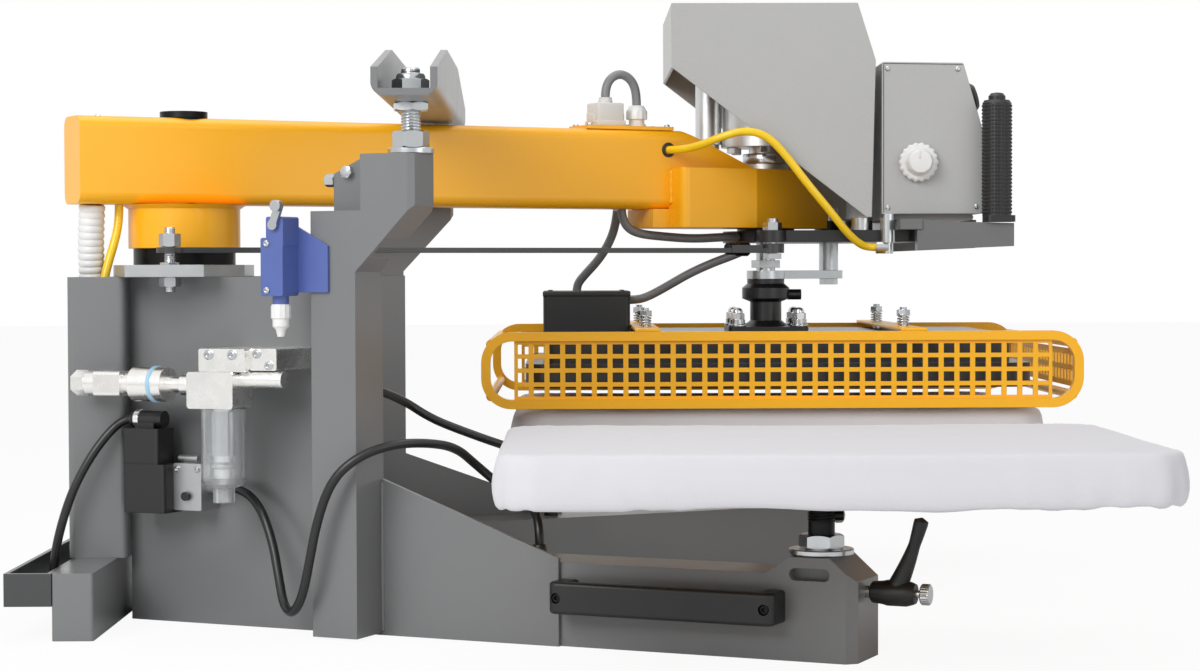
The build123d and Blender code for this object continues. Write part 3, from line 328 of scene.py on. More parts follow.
@dataclass(frozen=True)
class PowderCoat(Finish):
    """Polyester powder baked on steel. The eye sees a soft plastic gloss, a slight ripple and
    edges where the coat has drawn thin and gone lighter."""

    coat: Coat = Coat.ORANGE_PEEL
    edge_colour: str = "#b9bbbd"
    edge_wear: float = 0.25
    edge_radius: float = 0.9

    def build(self) -> bpy.types.Material:
        """Makes the coat.

        Returns:
            The material.
        """
        material, tree, shader, where = self.start(
            {"IOR": 1.5, "Coat Weight": 0.15, "Coat Roughness": 0.18})
        rounded = add_node(tree, "ShaderNodeBevel", {"samples": 4},
                           {"Radius": self.edge_radius * MM}).outputs["Normal"]
        true = add_node(tree, "ShaderNodeNewGeometry").outputs["Normal"]
        facing = add_node(tree, "ShaderNodeVectorMath", {"operation": "DOT_PRODUCT"},
                          links={0: rounded, 1: true})
        edge = add_node(tree, "ShaderNodeMapRange",
                        values={"From Min": 0.985, "From Max": 0.80, "To Min": 0.0, "To Max": 1.0},
                        links={"Value": facing.outputs["Value"]})
        chips = add_node(tree, "ShaderNodeTexNoise",
                         values={"Scale": per_metre(9), "Detail": 5.0}, links={"Vector": where})
        worn = add_node(tree, "ShaderNodeMapRange",
                        values={"From Min": 0.42, "From Max": 0.62, "To Min": 0.0,
                                "To Max": self.edge_wear},
                        links={"Value": chips.outputs["Fac"]})
        amount = add_node(tree, "ShaderNodeMath", {"operation": "MULTIPLY"},
                          links={0: edge.outputs["Result"], 1: worn.outputs["Result"]})
        colour = add_node(tree, "ShaderNodeMix", {"data_type": "RGBA"},
                          {7: linear(self.edge_colour)},
                          {0: amount.outputs["Value"], 6: self.tinted(tree, where, 90, 0.035)})
        tree.links.new(colour.outputs[2], shader.inputs["Base Color"])
        # Real orange peel has waves of about 1 mm. They are drawn at 3 mm so that they show.
        # Hammer paint really has dimples of about 3 mm.
        if self.coat is Coat.HAMMERED:
            cells = add_node(tree, "ShaderNodeTexVoronoi", {"feature": "SMOOTH_F1"},
                             {"Scale": per_metre(3.4), "Smoothness": 0.6}, {"Vector": where})
            relief = cells.outputs["Distance"]
        else:
            ripple = add_node(tree, "ShaderNodeTexNoise",
                              values={"Scale": per_metre(3.2), "Detail": 1.5},
                              links={"Vector": where})
            relief = ripple.outputs["Fac"]
        self.surface(tree, shader, where, relief, self.coat.value, rounded, wipe=(40, 0.05))
        return material


class Lay(Enum):
    """The direction of the fine tool marks in a metal surface."""

    NONE = "none"
    RINGS_Z = "Z"
    RINGS_X = "X"
    CAST = "cast"


@dataclass(frozen=True)
class Metal(Finish):
    """Bare or plated metal. The eye sees sharp bright reflections, fine tool marks and a faint
    clouding of the plating."""

    lay: Lay = Lay.NONE
    mark_mm: float = 0.7
    mark_depth: float = 0.12
    clouding: float = 0.05
    edge_radius: float = 0.5

    def build(self) -> bpy.types.Material:
        """Makes the metal.

        Returns:
            The material.
        """
        material, tree, shader, where = self.start({"Metallic": 1.0})
        rounded = add_node(tree, "ShaderNodeBevel", {"samples": 4},
                           {"Radius": self.edge_radius * MM}).outputs["Normal"]
        # Turning marks are 0.1 mm apart. They are drawn wider so that they show as soft rings.
        if self.lay in (Lay.RINGS_Z, Lay.RINGS_X):
            marks = add_node(tree, "ShaderNodeTexWave",
                             {"wave_type": "BANDS", "bands_direction": self.lay.value},
                             {"Scale": bands(self.mark_mm), "Distortion": 0.6, "Detail": 2.0},
                             {"Vector": where})
        else:
            size, detail = (self.mark_mm, 3.0) if self.lay is Lay.CAST else (0.9, 2.0)
            marks = add_node(tree, "ShaderNodeTexNoise",
                             values={"Scale": per_metre(size), "Detail": detail},
                             links={"Vector": where})
        self.surface(tree, shader, where, marks.outputs["Fac"], (self.mark_depth, 0.0002), rounded,
                     (18, self.clouding), (12, 0.07))
        return material


@dataclass(frozen=True)
class Moulded(Finish):
    """Injection-moulded ABS or nylon. The eye sees an even colour with a fine spark-eroded
    grain that breaks the gloss up."""

    grain_mm: float = 1.1
    grain_depth: float = 0.12
    edge_radius: float = 0.7

    def build(self) -> bpy.types.Material:
        """Makes the plastic.

        Returns:
            The material.
        """
        material, tree, shader, where = self.start({"IOR": 1.52})
        rounded = add_node(tree, "ShaderNodeBevel", {"samples": 4},
                           {"Radius": self.edge_radius * MM}).outputs["Normal"]
        # Mould grain is about 0.1 mm. It is drawn at about 1 mm so that it shows.
        grain = add_node(tree, "ShaderNodeTexNoise",
                         values={"Scale": per_metre(self.grain_mm), "Detail": 4.0},
                         links={"Vector": where})
        self.surface(tree, shader, where, grain.outputs["Fac"], (self.grain_depth, 0.00025),
                     rounded, (25, 0.05), (15, 0.06))
        return material


@dataclass(frozen=True)
class ClearPlastic(Finish):
    """Moulded polycarbonate. The eye sees through it, with bright edges and a slight haze."""

    def build(self) -> bpy.types.Material:
        """Makes the clear bowl's plastic.

        Returns:
            The material.
        """
        material, tree, shader, where = self.start(
            {"Base Color": linear(self.colour), "Transmission Weight": 0.85, "IOR": 1.58})
        haze = add_node(tree, "ShaderNodeTexNoise", values={"Scale": per_metre(4), "Detail": 2.0},
                        links={"Vector": where})
        self.surface(tree, shader, where, haze.outputs["Fac"], (0.05, 0.0003))
        return material


@dataclass(frozen=True)
class WovenCotton(Finish):
    """Plain-woven white cotton pulled over foam. The eye sees matt threads, a soft sheen at
    grazing angles and shallow creases."""

    thread_mm: float = 0.5

    def build(self) -> bpy.types.Material:
        """Makes the cloth.

        Returns:
            The material.
        """
        material, tree, shader, where = self.start({"Sheen Weight": 0.25, "Sheen Roughness": 0.5})
        # Threads lie 0.5 mm apart. They are drawn three times as wide so that they show.
        drawn = self.thread_mm * 3
        warp, weft, rise = (
            add_node(tree, "ShaderNodeTexWave", {"bands_direction": axis},
                     {"Scale": bands(drawn), "Distortion": 0.5, "Detail": 1.0},
                     {"Vector": where}).outputs["Fac"] for axis in "XYZ")
        flat = add_node(tree, "ShaderNodeMath", {"operation": "MULTIPLY"}, links={0: warp, 1: weft})
        weave = add_node(tree, "ShaderNodeMath", {"operation": "MULTIPLY_ADD"},
                         {2: 0.0}, {0: rise, 1: flat.outputs["Value"]})
        threads = add_node(tree, "ShaderNodeBump", values={"Strength": 0.22, "Distance": 0.0003},
                           links={"Height": weave.outputs["Value"]})
        crease = add_node(tree, "ShaderNodeTexNoise",
                          values={"Scale": per_metre(28), "Detail": 4.0, "Distortion": 1.2},
                          links={"Vector": where})
        self.surface(tree, shader, where, crease.outputs["Fac"], (0.25, 0.0022),
                     threads.outputs["Normal"], (45, 0.018))
        return material


@dataclass(frozen=True)
class Plywood(Finish):
    """Sanded birch plywood. The eye sees pale long grain, and thin dark glue lines on the edge."""

    def build(self) -> bpy.types.Material:
        """Makes the board.

        Returns:
            The material.
        """
        material, tree, shader, where = self.start()
        stretched = add_node(tree, "ShaderNodeMapping", values={"Scale": (0.12, 1.0, 1.0)},
                             links={"Vector": where})
        grain = add_node(tree, "ShaderNodeTexNoise",
                         values={"Scale": per_metre(4), "Detail": 6.0, "Distortion": 0.4},
                         links={"Vector": stretched.outputs["Vector"]})
        plies = add_node(tree, "ShaderNodeTexWave", {"bands_direction": "Z"},
                         {"Scale": bands(2.8)}, {"Vector": where})
        both = add_node(tree, "ShaderNodeMath", {"operation": "MULTIPLY"},
                        links={0: grain.outputs["Fac"], 1: plies.outputs["Fac"]})
        colour = add_node(tree, "ShaderNodeMix", {"data_type": "RGBA"},
                          {6: linear("#8f6a44"), 7: linear(self.colour)},
                          {0: both.outputs["Value"]})
        tree.links.new(colour.outputs[2], shader.inputs["Base Color"])
        self.surface(tree, shader, where, grain.outputs["Fac"], (0.2, 0.0003))
        return material


@dataclass(frozen=True)
class Sheath(Finish):
    """Extruded PVC or polyurethane. The eye sees a smooth skin with faint draw lines."""

    clear: float = 0.0

    def build(self) -> bpy.types.Material:
        """Makes the cord's or hose's skin.

        Returns:
            The material.
        """
        material, tree, shader, where = self.start(
            {"IOR": 1.5, "Subsurface Weight": self.clear, "Subsurface Scale": 0.003})
        skin = add_node(tree, "ShaderNodeTexNoise", values={"Scale": per_metre(2.5), "Detail": 2.0},
                        links={"Vector": where})
        self.surface(tree, shader, where, skin.outputs["Fac"], (0.08, 0.0002), None,
                     (30, 0.05), (12, 0.06))
        return material


class Finishes:
    """Every finish on the press, each built once."""

    def __init__(self) -> None:
        """Builds the materials."""
        made = [
            PowderCoat("frame_powder_coat", "#767778", 0.32),
            PowderCoat("arm_powder_coat", "#feb510", 0.34, Coat.SMOOTH, "#ffd574", 0.4, 1.4),
            PowderCoat("guard_dip_coat", "#ffb90e", 0.36, Coat.SMOOTH, "#ffd070", 0.4, 0.8),
            PowderCoat("hood_hammer_paint", "#b3b3b2", 0.36, Coat.HAMMERED, "#d9d9d8", 0.3, 1.2),
            PowderCoat("tray_black_paint", "#3c3d3e", 0.32, Coat.ORANGE_PEEL, "#77797b", 0.3),
            PowderCoat("bracket_grey_paint", "#6d6e6f", 0.34, Coat.ORANGE_PEEL, "#9a9b9c", 0.3),
            PowderCoat("black_satin_paint", "#1b1b1c", 0.34, Coat.SMOOTH, "#5a5a5c", 0.35),
            Metal("zinc_plated_steel", "#c3c6c8", 0.24, Lay.NONE),
            Metal("ground_steel_plate", "#a9abac", 0.33, Lay.RINGS_Z, 1.1),
            Metal("turned_steel", "#c9cacb", 0.20, Lay.RINGS_Z, 0.9),
            Metal("black_oxide_steel", "#2a2a2b", 0.36, Lay.RINGS_Z, 1.2),
            Metal("nickel_plated_brass", "#f4f3f0", 0.27, Lay.RINGS_X, 1.2),
            Metal("cast_aluminium", "#b6b7b8", 0.42, Lay.CAST, 1.6, 0.3),
            Metal("drawn_barrel_aluminium", "#dcdddd", 0.34, Lay.NONE),
            Moulded("black_nylon", "#171718", 0.42),
            Moulded("black_grip_rubber", "#161617", 0.55, 0.9, 0.25),
            Moulded("grey_abs", "#d6d4cf", 0.40),
            Moulded("white_acetal", "#e6e6e4", 0.30, 1.4, 0.05),
            Moulded("blue_housing", "#5264a4", 0.36),
            Moulded("pale_blue_ring", "#9fc6de", 0.32),
            ClearPlastic("clear_polycarbonate", "#f4f7f8", 0.05),
            WovenCotton("cotton_cover", "#d2d1d6", 0.85),
            Plywood("birch_plywood", "#d9bd92", 0.55),
            Sheath("black_pvc", "#1c1c1d", 0.34),
            Sheath("grey_pvc", "#7e8082", 0.38),
            Sheath("yellow_polyurethane", "#f8ce1e", 0.20, 0.15),
            Sheath("white_corrugated", "#e4e4e3", 0.40),
        ]
        self.by_name = {finish.name: finish.build() for finish in made}

    def paint(self, target: Piece, name: str) -> None:
        """Gives an object one finish all over.

        Args:
            target: the object.
            name: the finish's name.
        """
        target.data.materials.clear()
        target.data.materials.append(self.by_name[name])


def add_object(name: str, data: bpy.types.ID) -> Piece:
    """Makes an object and links it into the scene.

    Args:
        name: its name.
        data: its mesh, curve, light or camera.

    Returns:
        The object.
    """
    holder = bpy.data.objects.new(name, data)
    bpy.context.scene.collection.objects.link(holder)
    return holder


def add_smooth(name: str, mesh: bpy.types.Mesh, smooth_angle: float) -> Piece:
    """Makes an object of a mesh and shades it smooth.

    Args:
        name: its name.
        mesh: the mesh.
        smooth_angle: edges sharper than this stay sharp, in degrees.

    Returns:
        The object.
    """
    mesh.polygons.foreach_set("use_smooth", [True] * len(mesh.polygons))
    mesh.set_sharp_from_angle(angle=math.radians(smooth_angle))
    return add_object(name, mesh)


def add_mesh(vertices: Sequence[Vector], faces: Sequence[Sequence[int]],
             smooth_angle: float = 35.0, name: str = "part") -> Piece:
    """Makes an object from points in metres.

    Args:
        vertices: its points.
        faces: its faces.
        smooth_angle: edges sharper than this stay sharp, in degrees.
        name: its name.

    Returns:
        The object.
    """
    mesh = bpy.data.meshes.new(name)
    mesh.from_pydata([tuple(v) for v in vertices], [], [list(f) for f in faces])
    skin = bmesh.new()
    skin.from_mesh(mesh)
    bmesh.ops.recalc_face_normals(skin, faces=skin.faces)
    skin.to_mesh(mesh)
    skin.free()
    return add_smooth(name, mesh, smooth_angle)


def frame_along(axis: Vector) -> tuple[Vector, Vector, Vector]:
    """Two unit vectors square to an axis, and the axis itself.

    Args:
        axis: the axis, of any length.

    Returns:
        The two vectors, and the axis as a unit vector.
    """
    main = axis.normalized()
    helper = UP if abs(main.z) < 0.9 else Vector((1, 0, 0))
    first = helper.cross(main).normalized()
    return first, main.cross(first), main


def stack(rings: Sequence[Ring]) -> tuple[list[Vector], list[list[int]]]:
    """Joins rings of equal count into a skin that is closed at both ends.

    Args:
        rings: the rings, in order.

    Returns:
        The points and the faces.
    """
    count = len(rings[0])
    last = (len(rings) - 1) * count
    faces = [[low + i, low + (i + 1) % count, low + count + (i + 1) % count, low + count + i]
             for low in range(0, last, count) for i in range(count)]
    faces += [list(range(count))[::-1], list(range(last, last + count))]
    return [p for ring in rings for p in ring], faces


def turned(foot: Point, outline: Outline, segments: int = 48, axis: Vector = UP,
           shape: Shape | None = None) -> Piece:
    """A turned piece.

    Args:
        foot: the point on the axis that heights start from, in millimetres.
        outline: radius and height of each ring, in millimetres.
        segments: points around.
        axis: the axis.
        shape: optional factor on the radius by angle and height.

    Returns:
        The object.
    """
    first, second, main = frame_along(axis)
    rings = []
    for radius, height in outline:
        ring = []
        for i in range(segments):
            angle = 2 * math.pi * i / segments
            reach = radius * (shape(angle, height) if shape else 1.0)
            ring.append(metres(foot) + (first * math.cos(angle) + second * math.sin(angle))
                        * reach * MM + main * height * MM)
        rings.append(ring)
    return add_mesh(*stack(rings))


def flutes(count: int, depth: float, low: float = -math.inf, high: float = math.inf) -> Shape:
    """Shape of a turned piece with grooves round it.

    Args:
        count: number of grooves.
        depth: their depth, as a share of the radius.
        low: height that they start above.
        high: height that they end below.

    Returns:
        The factor on the radius by angle and height.
    """
    return lambda angle, height: 1 + (depth * math.cos(count * angle) if low < height < high else 0)


def hex_nut(foot: Point, across: float, height: float, turn: float = 0.0, axis: Vector = UP
            ) -> Piece:
    """A hexagon nut or head with both faces chamfered at 30 degrees.

    Args:
        foot: the middle of its lower face, in millimetres.
        across: width across the flats.
        height: its height.
        turn: how far it is turned, in degrees.
        axis: the axis.

    Returns:
        The object.
    """
    first, second, main = frame_along(axis)
    segments, flat, face, slope = 72, across / 2, across / 2 * 0.985, 0.577
    rings: list[Ring] = [[], [], [], []]
    for i in range(segments):
        angle = 2 * math.pi * i / segments
        inside = (angle + math.pi / 6) % (math.pi / 3) - math.pi / 6
        reach = flat / math.cos(inside)
        drop = (reach - flat) * slope
        around = angle + math.radians(turn)
        spoke = first * math.cos(around) + second * math.sin(around)
        for ring, (radius, level) in zip(rings, ((face, 0), (reach, drop), (reach, height - drop),
                                                 (face, height))):
            ring.append(metres(foot) + spoke * radius * MM + main * level * MM)
    return add_mesh(*stack(rings), smooth_angle=28)


def screw_thread(foot: Point, radius: float, pitch: float, length: float, depth: float,
                 segments: int = 40) -> Piece:
    """A helical thread round an upright rod.

    Args:
        foot: the middle of its lower end, in millimetres.
        radius: radius at the thread's root.
        pitch: distance from crest to crest.
        length: threaded length.
        depth: height of the crest over the root.
        segments: points around.

    Returns:
        The object.
    """
    rings_per_turn, flank = 6, 2.6
    steps = max(4, round(length / pitch * rings_per_turn))
    rings = []
    for level in range(steps + 1):
        height = length * level / steps
        ring = []
        for i in range(segments):
            angle = 2 * math.pi * i / segments
            phase = (height / pitch - i / segments) % 1.0
            crest = max(0.0, 1 - abs(phase - 0.5) * flank)
            fade = min(1.0, height / pitch, (length - height) / pitch)
            reach = radius + depth * crest * fade
            ring.append(metres(foot) + Vector((math.cos(angle) * reach, math.sin(angle) * reach,
                                               height)) * MM)
        rings.append(ring)
    return add_mesh(*stack(rings), smooth_angle=60)


def tube(line: Sequence[Vector], radius: Callable[[float], float] | float,
         segments: int = 20) -> Piece:
    """A round tube along a line of points.

    Args:
        line: the points of the middle line, in metres.
        radius: its radius in metres, or a function of the length so far.
        segments: points around.

    Returns:
        The object.
    """
    first, _, _ = frame_along(line[1] - line[0])
    rings, run = [], 0.0
    for i, point in enumerate(line):
        direction = (line[min(i + 1, len(line) - 1)] - line[max(i - 1, 0)]).normalized()
        first = (first - direction * first.dot(direction)).normalized()
        second = direction.cross(first)
        if i:
            run += (point - line[i - 1]).length
        reach = radius(run) if callable(radius) else radius
        rings.append([point + (first * math.cos(a) + second * math.sin(a)) * reach
                      for a in (2 * math.pi * k / segments for k in range(segments))])
    return add_mesh(*stack(rings), smooth_angle=60)


def weld(foot: Point, rise: float, steps: int, bead: Shape, segments: int) -> Piece:
    """An upright weld bead whose radius goes up and down like the welder's steps.

    Args:
        foot: its lower end, in millimetres.
        rise: its length.
        steps: points along it, less one.
        bead: radius, ripple and ripples, all in metres.
        segments: points around.

    Returns:
        The bead.
    """
    x, y, low = foot
    radius, ripple, waves = bead
    return tube([metres((x, y, low + rise * i / steps)) for i in range(steps + 1)],
                lambda run: radius + ripple * math.sin(run * waves), segments)


def plate(outline: Sequence[Point], thickness: Vector, bevel_mm: float = 0.6) -> Piece:
    """A flat plate or block with small rounded edges.

    Args:
        outline: the corners of one face, in millimetres.
        thickness: the step to the other face, in millimetres.
        bevel_mm: radius of its edges.

    Returns:
        The object.
    """
    low = [metres(p) for p in outline]
    piece = add_mesh(*stack([low, [p + thickness * MM for p in low]]), smooth_angle=30)
    modifier = piece.modifiers.new("edges", "BEVEL")
    modifier.width = bevel_mm * MM
    modifier.segments = 3
    modifier.limit_method = "ANGLE"
    return piece


def join(name: str, parts: Sequence[Piece]) -> Piece:
    """Joins meshes into one piece.

    Args:
        name: the new piece's name.
        parts: the meshes, whose modifiers are applied first.

    Returns:
        The joined object.
    """
    depsgraph = bpy.context.evaluated_depsgraph_get()
    bpy.context.view_layer.update()
    whole = bmesh.new()
    for part in parts:
        shaped = bpy.data.meshes.new_from_object(part.evaluated_get(depsgraph))
        whole.from_mesh(shaped)
        bpy.data.meshes.remove(shaped)
    mesh = bpy.data.meshes.new(name)
    whole.to_mesh(mesh)
    whole.free()
    for part in parts:
        bpy.data.objects.remove(part)
    return add_smooth(name, mesh, 32)


@dataclass
class Assembly:
    """What each sub-assembly has: the finishes and a way to put pieces in place."""

    finishes: Finishes

    def dress(self, **nodes: str) -> None:
        """Gives CAD nodes their finishes.

        Args:
            nodes: the nodes of each finish, with spaces between them.
        """
        for finish, names in nodes.items():
            for node in names.split():
                self.finishes.paint(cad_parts[node], finish)

    def fit(self, name: str, made: Piece | list[Piece], body: str, finish: str,
            slot: str | None = None, stands_for: str | None = None) -> Piece:
        """Names a new piece, or joins several into it, and puts it on its body.

        Args:
            name: the piece's name.
            made: the piece, or the parts to join, already in place.
            body: the CAD body it rides on.
            finish: its finish.
            slot: not used.
            stands_for: the CAD node that it replaces.

        Returns:
            The piece.
        """
        piece = join(name, made) if isinstance(made, list) else made
        piece.name = piece.data.name = name
        self.finishes.paint(piece, finish)
        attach(piece, body)
        if stands_for:
            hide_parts(stands_for)
        LOG.info("piece %s on %s", name, body)
        return piece


@dataclass
class BaseFrame(Assembly):
    """Beam, column, legs, posts, crossbar and the bearing that carries the arm."""

    tie_rod_x: float = 222.9
    tie_rod_y: float = 187.0
    tie_rod_nut: float = 28.0
    post_top: float = 418.4
    bar_floor: float = 462.5
    bar_sheet: float = 6.0
    rod_foot: float = 396.7
    rod_top: float = 492.0
    rod_chamfer: float = 1.5
    pin_nut: float = 17.0
    boss_top: float = 85.0

    def build(self) -> None:
        """Dresses the frame and adds its bolts, glands, handle screws and welds."""
        self.dress(frame_powder_coat="rear_beam rear_column side_panels near_leg far_leg "
                                     "near_post far_post crossbar",
                   tray_black_paint="cable_tray", ground_steel_plate="bearing_housing",
                   black_oxide_steel="pivot_shaft", black_nylon="carry_handles")
        self.fit("frame_bolts", self.bolts(), "base", "zinc_plated_steel", "zinc",
                 "frame_fasteners")
        self.fit("leg_glands", [
            turned(LAYOUT.leg(along, LEG_MIDDLE, 71, side),
                   [(7, 0), (7, 4), (6.4, 4.6), (6.4, 8), (5.4, 11)], 32)
            for side, along in ((1, LAYOUT.near_gland), (-1, LAYOUT.far_gland))],
            "base", "black_nylon", "black_plastic")
        self.fit("handle_screws", [
            turned(LAYOUT.leg(along, -24.2, 44.5, side),
                   [(3.9, 0), (3.9, 3.4), (3.5, 3.9), (2.1, 3.9), (2.1, 1.4)], 24,
                   LAYOUT.leg_outward(side)) for side in (1, -1) for along in (395.0, 580.0)],
            "base", "black_oxide_steel")
        self.fit("panel_welds", [
            weld(LAYOUT.leg(along, -4.2, 4.0, side), rise, 60, (0.0016, 0.0003, 1400), 10)
            for side in (1, -1) for along, rise in ((170.6, 308.0), (216.2, 130.0))],
            "base", "frame_powder_coat", "frame_paint")

    def bolts(self) -> list[Piece]:
        """Tie rods, their nuts, the link's fixed pin, the post's screws and the table nuts.

        Returns:
            The separate parts.
        """
        parts = []
        length, top = self.rod_top - self.rod_foot, self.bar_floor + self.bar_sheet
        for side in (-1, 1):
            x, y = self.tie_rod_x, side * self.tie_rod_y
            parts += [turned((x, y, self.rod_foot),
                             [(8.0, 0), (8.0, length - self.rod_chamfer), (7.0, length)]),
                      screw_thread((x, y, self.post_top), 7.9, 2.5,
                                   self.rod_top - self.post_top - self.rod_chamfer, 0.85),
                      turned((x, y, self.post_top), [(19.4, 0), (20, 0.6), (20, 4.4), (19.4, 5)])]
            parts += [hex_nut((x, y, foot), self.tie_rod_nut, height, turn)
                      for foot, height, turn in ((self.post_top + 5, 14.6, 12),
                                                 (self.bar_floor - 7.5, 7.5, 40), (top, 14.0, 7))]
            parts.append(turned((x, y, top + 13.9),
                                [(12.6, 0), (12.6, 2.4), (11.4, 4.4), (8.9, 4.6)]))
        pin = (0, -LAYOUT.link_offset)
        parts.append(turned((*pin, 300.0), [(4.6, 0), (4.6, 57), (3.8, 58)], 32))
        parts += [screw_thread((*pin, foot), 4.6, 1.5, length, 0.45, 28)
                  for foot, length in ((300.4, 34), (340.5, 17))]
        parts += [hex_nut((*pin, foot), self.pin_nut, height, turn)
                  for foot, height, turn in ((304.5, 9, 8), (317.5, 9, 33), (340.3, 12, 3))]
        parts += [hex_nut(LAYOUT.leg(172, -21, 397), 10, 9, 10, LAYOUT.leg_direction()),
                  hex_nut(LAYOUT.leg(196, -24, 404), 10, 6, 20, LAYOUT.leg_outward())]
        for side in (-1, 1):
            x, y = STATION_X, side * STATION_Y
            parts += [turned((x, y, self.boss_top),
                             [(26, 0), (26.7, 0.8), (26.7, 4.2), (26, 5)], 64),
                      hex_nut((x, y, self.boss_top + 5), 32.7, 11.5, 14 * side)]
        return parts


@dataclass
class AirPanel(Assembly):
    """Air preparation, valve and limit switch on the near side panel."""

    bowl_along: float = 91.0
    line_inward: float = -62.0
    switch_along: float = 150.0
    switch_inward: float = -50.6
    screw_heads: tuple[tuple[float, float, float, float], ...] = (
        (84.0, -74.0, 246.0, 4.4), (108.0, -74.0, 246.0, 4.4), (128.0, -66.0, 247.0, 4.0),
        (140.0, -66.0, 237.0, 4.0), (24.0, -34.0, 142.0, 2.6), (45.0, -34.0, 142.0, 2.6),
        (145.0, -76.6, 342.0, 3.0), (145.0, -76.6, 302.0, 3.0))

    def build(self) -> None:
        """Dresses the panel's pieces and adds the filter's element, screws, glands and band."""
        self.dress(nickel_plated_brass="air_fittings filter_head coupling_sleeve",
                   clear_polycarbonate="filter_bowl", cast_aluminium="valve_body",
                   black_nylon="valve_coil override_button", blue_housing="limit_switch",
                   zinc_plated_steel="switch_lever")
        bowl = LAYOUT.leg(self.bowl_along, self.line_inward, 0)
        element = turned(bowl, [(10.5, 158), (10.5, 196), (9.2, 196.4)], 40,
                         shape=flutes(14, 0.04))
        baffle = turned(bowl, [(3, 142), (11.5, 148), (11.5, 150), (4, 157.6)], 40)
        self.fit("filter_inside", [element, baffle], "base", "turned_steel")
        self.fit("panel_screws", [
            turned(LAYOUT.leg(along, inward, height),
                   [(radius, 0), (radius, 1.2), (radius * 0.7, 2.2), (radius * 0.45, 2.3),
                    (radius * 0.45, 1.2)], 24, LAYOUT.leg_outward())
            for along, inward, height, radius in self.screw_heads],
            "base", "zinc_plated_steel", "zinc")
        switch_foot = LAYOUT.leg(self.switch_along + 1, self.switch_inward - 13, 262)
        self.fit("switch_gland", turned(
            switch_foot, [(3.2, 0), (4.6, 6), (7.3, 9), (7.3, 15), (8.4, 16), (8.4, 26), (7.6, 28)],
            36, shape=flutes(12, 0.035, low=15)), "base", "white_acetal")
        self.fit("sleeve_band", self.sleeve_band(), "sleeve", "pale_blue_ring", "blue_plastic")
        self.fit("coil_gland", turned(
            LAYOUT.leg(-13.5, -33, 186),
            [(8.0, 0), (8.6, 0.8), (8.6, 5.0), (7.4, 5.6), (7.4, 9.0), (5.4, 11.0)], 40,
            -LAYOUT.leg_direction()), "base", "nickel_plated_brass", "brass_nickel")

    def sleeve_band(self) -> Piece:
        """Blue plastic band round the coupling's sliding sleeve.

        Returns:
            The band.
        """
        low, high = (Vector(corner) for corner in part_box("coupling_sleeve"))
        # The sleeve is level, so its height is its diameter.
        radius = (high.z - low.z) / 2 / MM + 0.5
        along = LAYOUT.leg_direction()
        foot = (low + high) / 2 / MM + along * 3.0
        return turned(tuple(foot), [(radius - 1.0, 0), (radius + 0.3, 0.5), (radius + 0.3, 4.0),
                                    (radius - 1.0, 4.5)], 56, along)


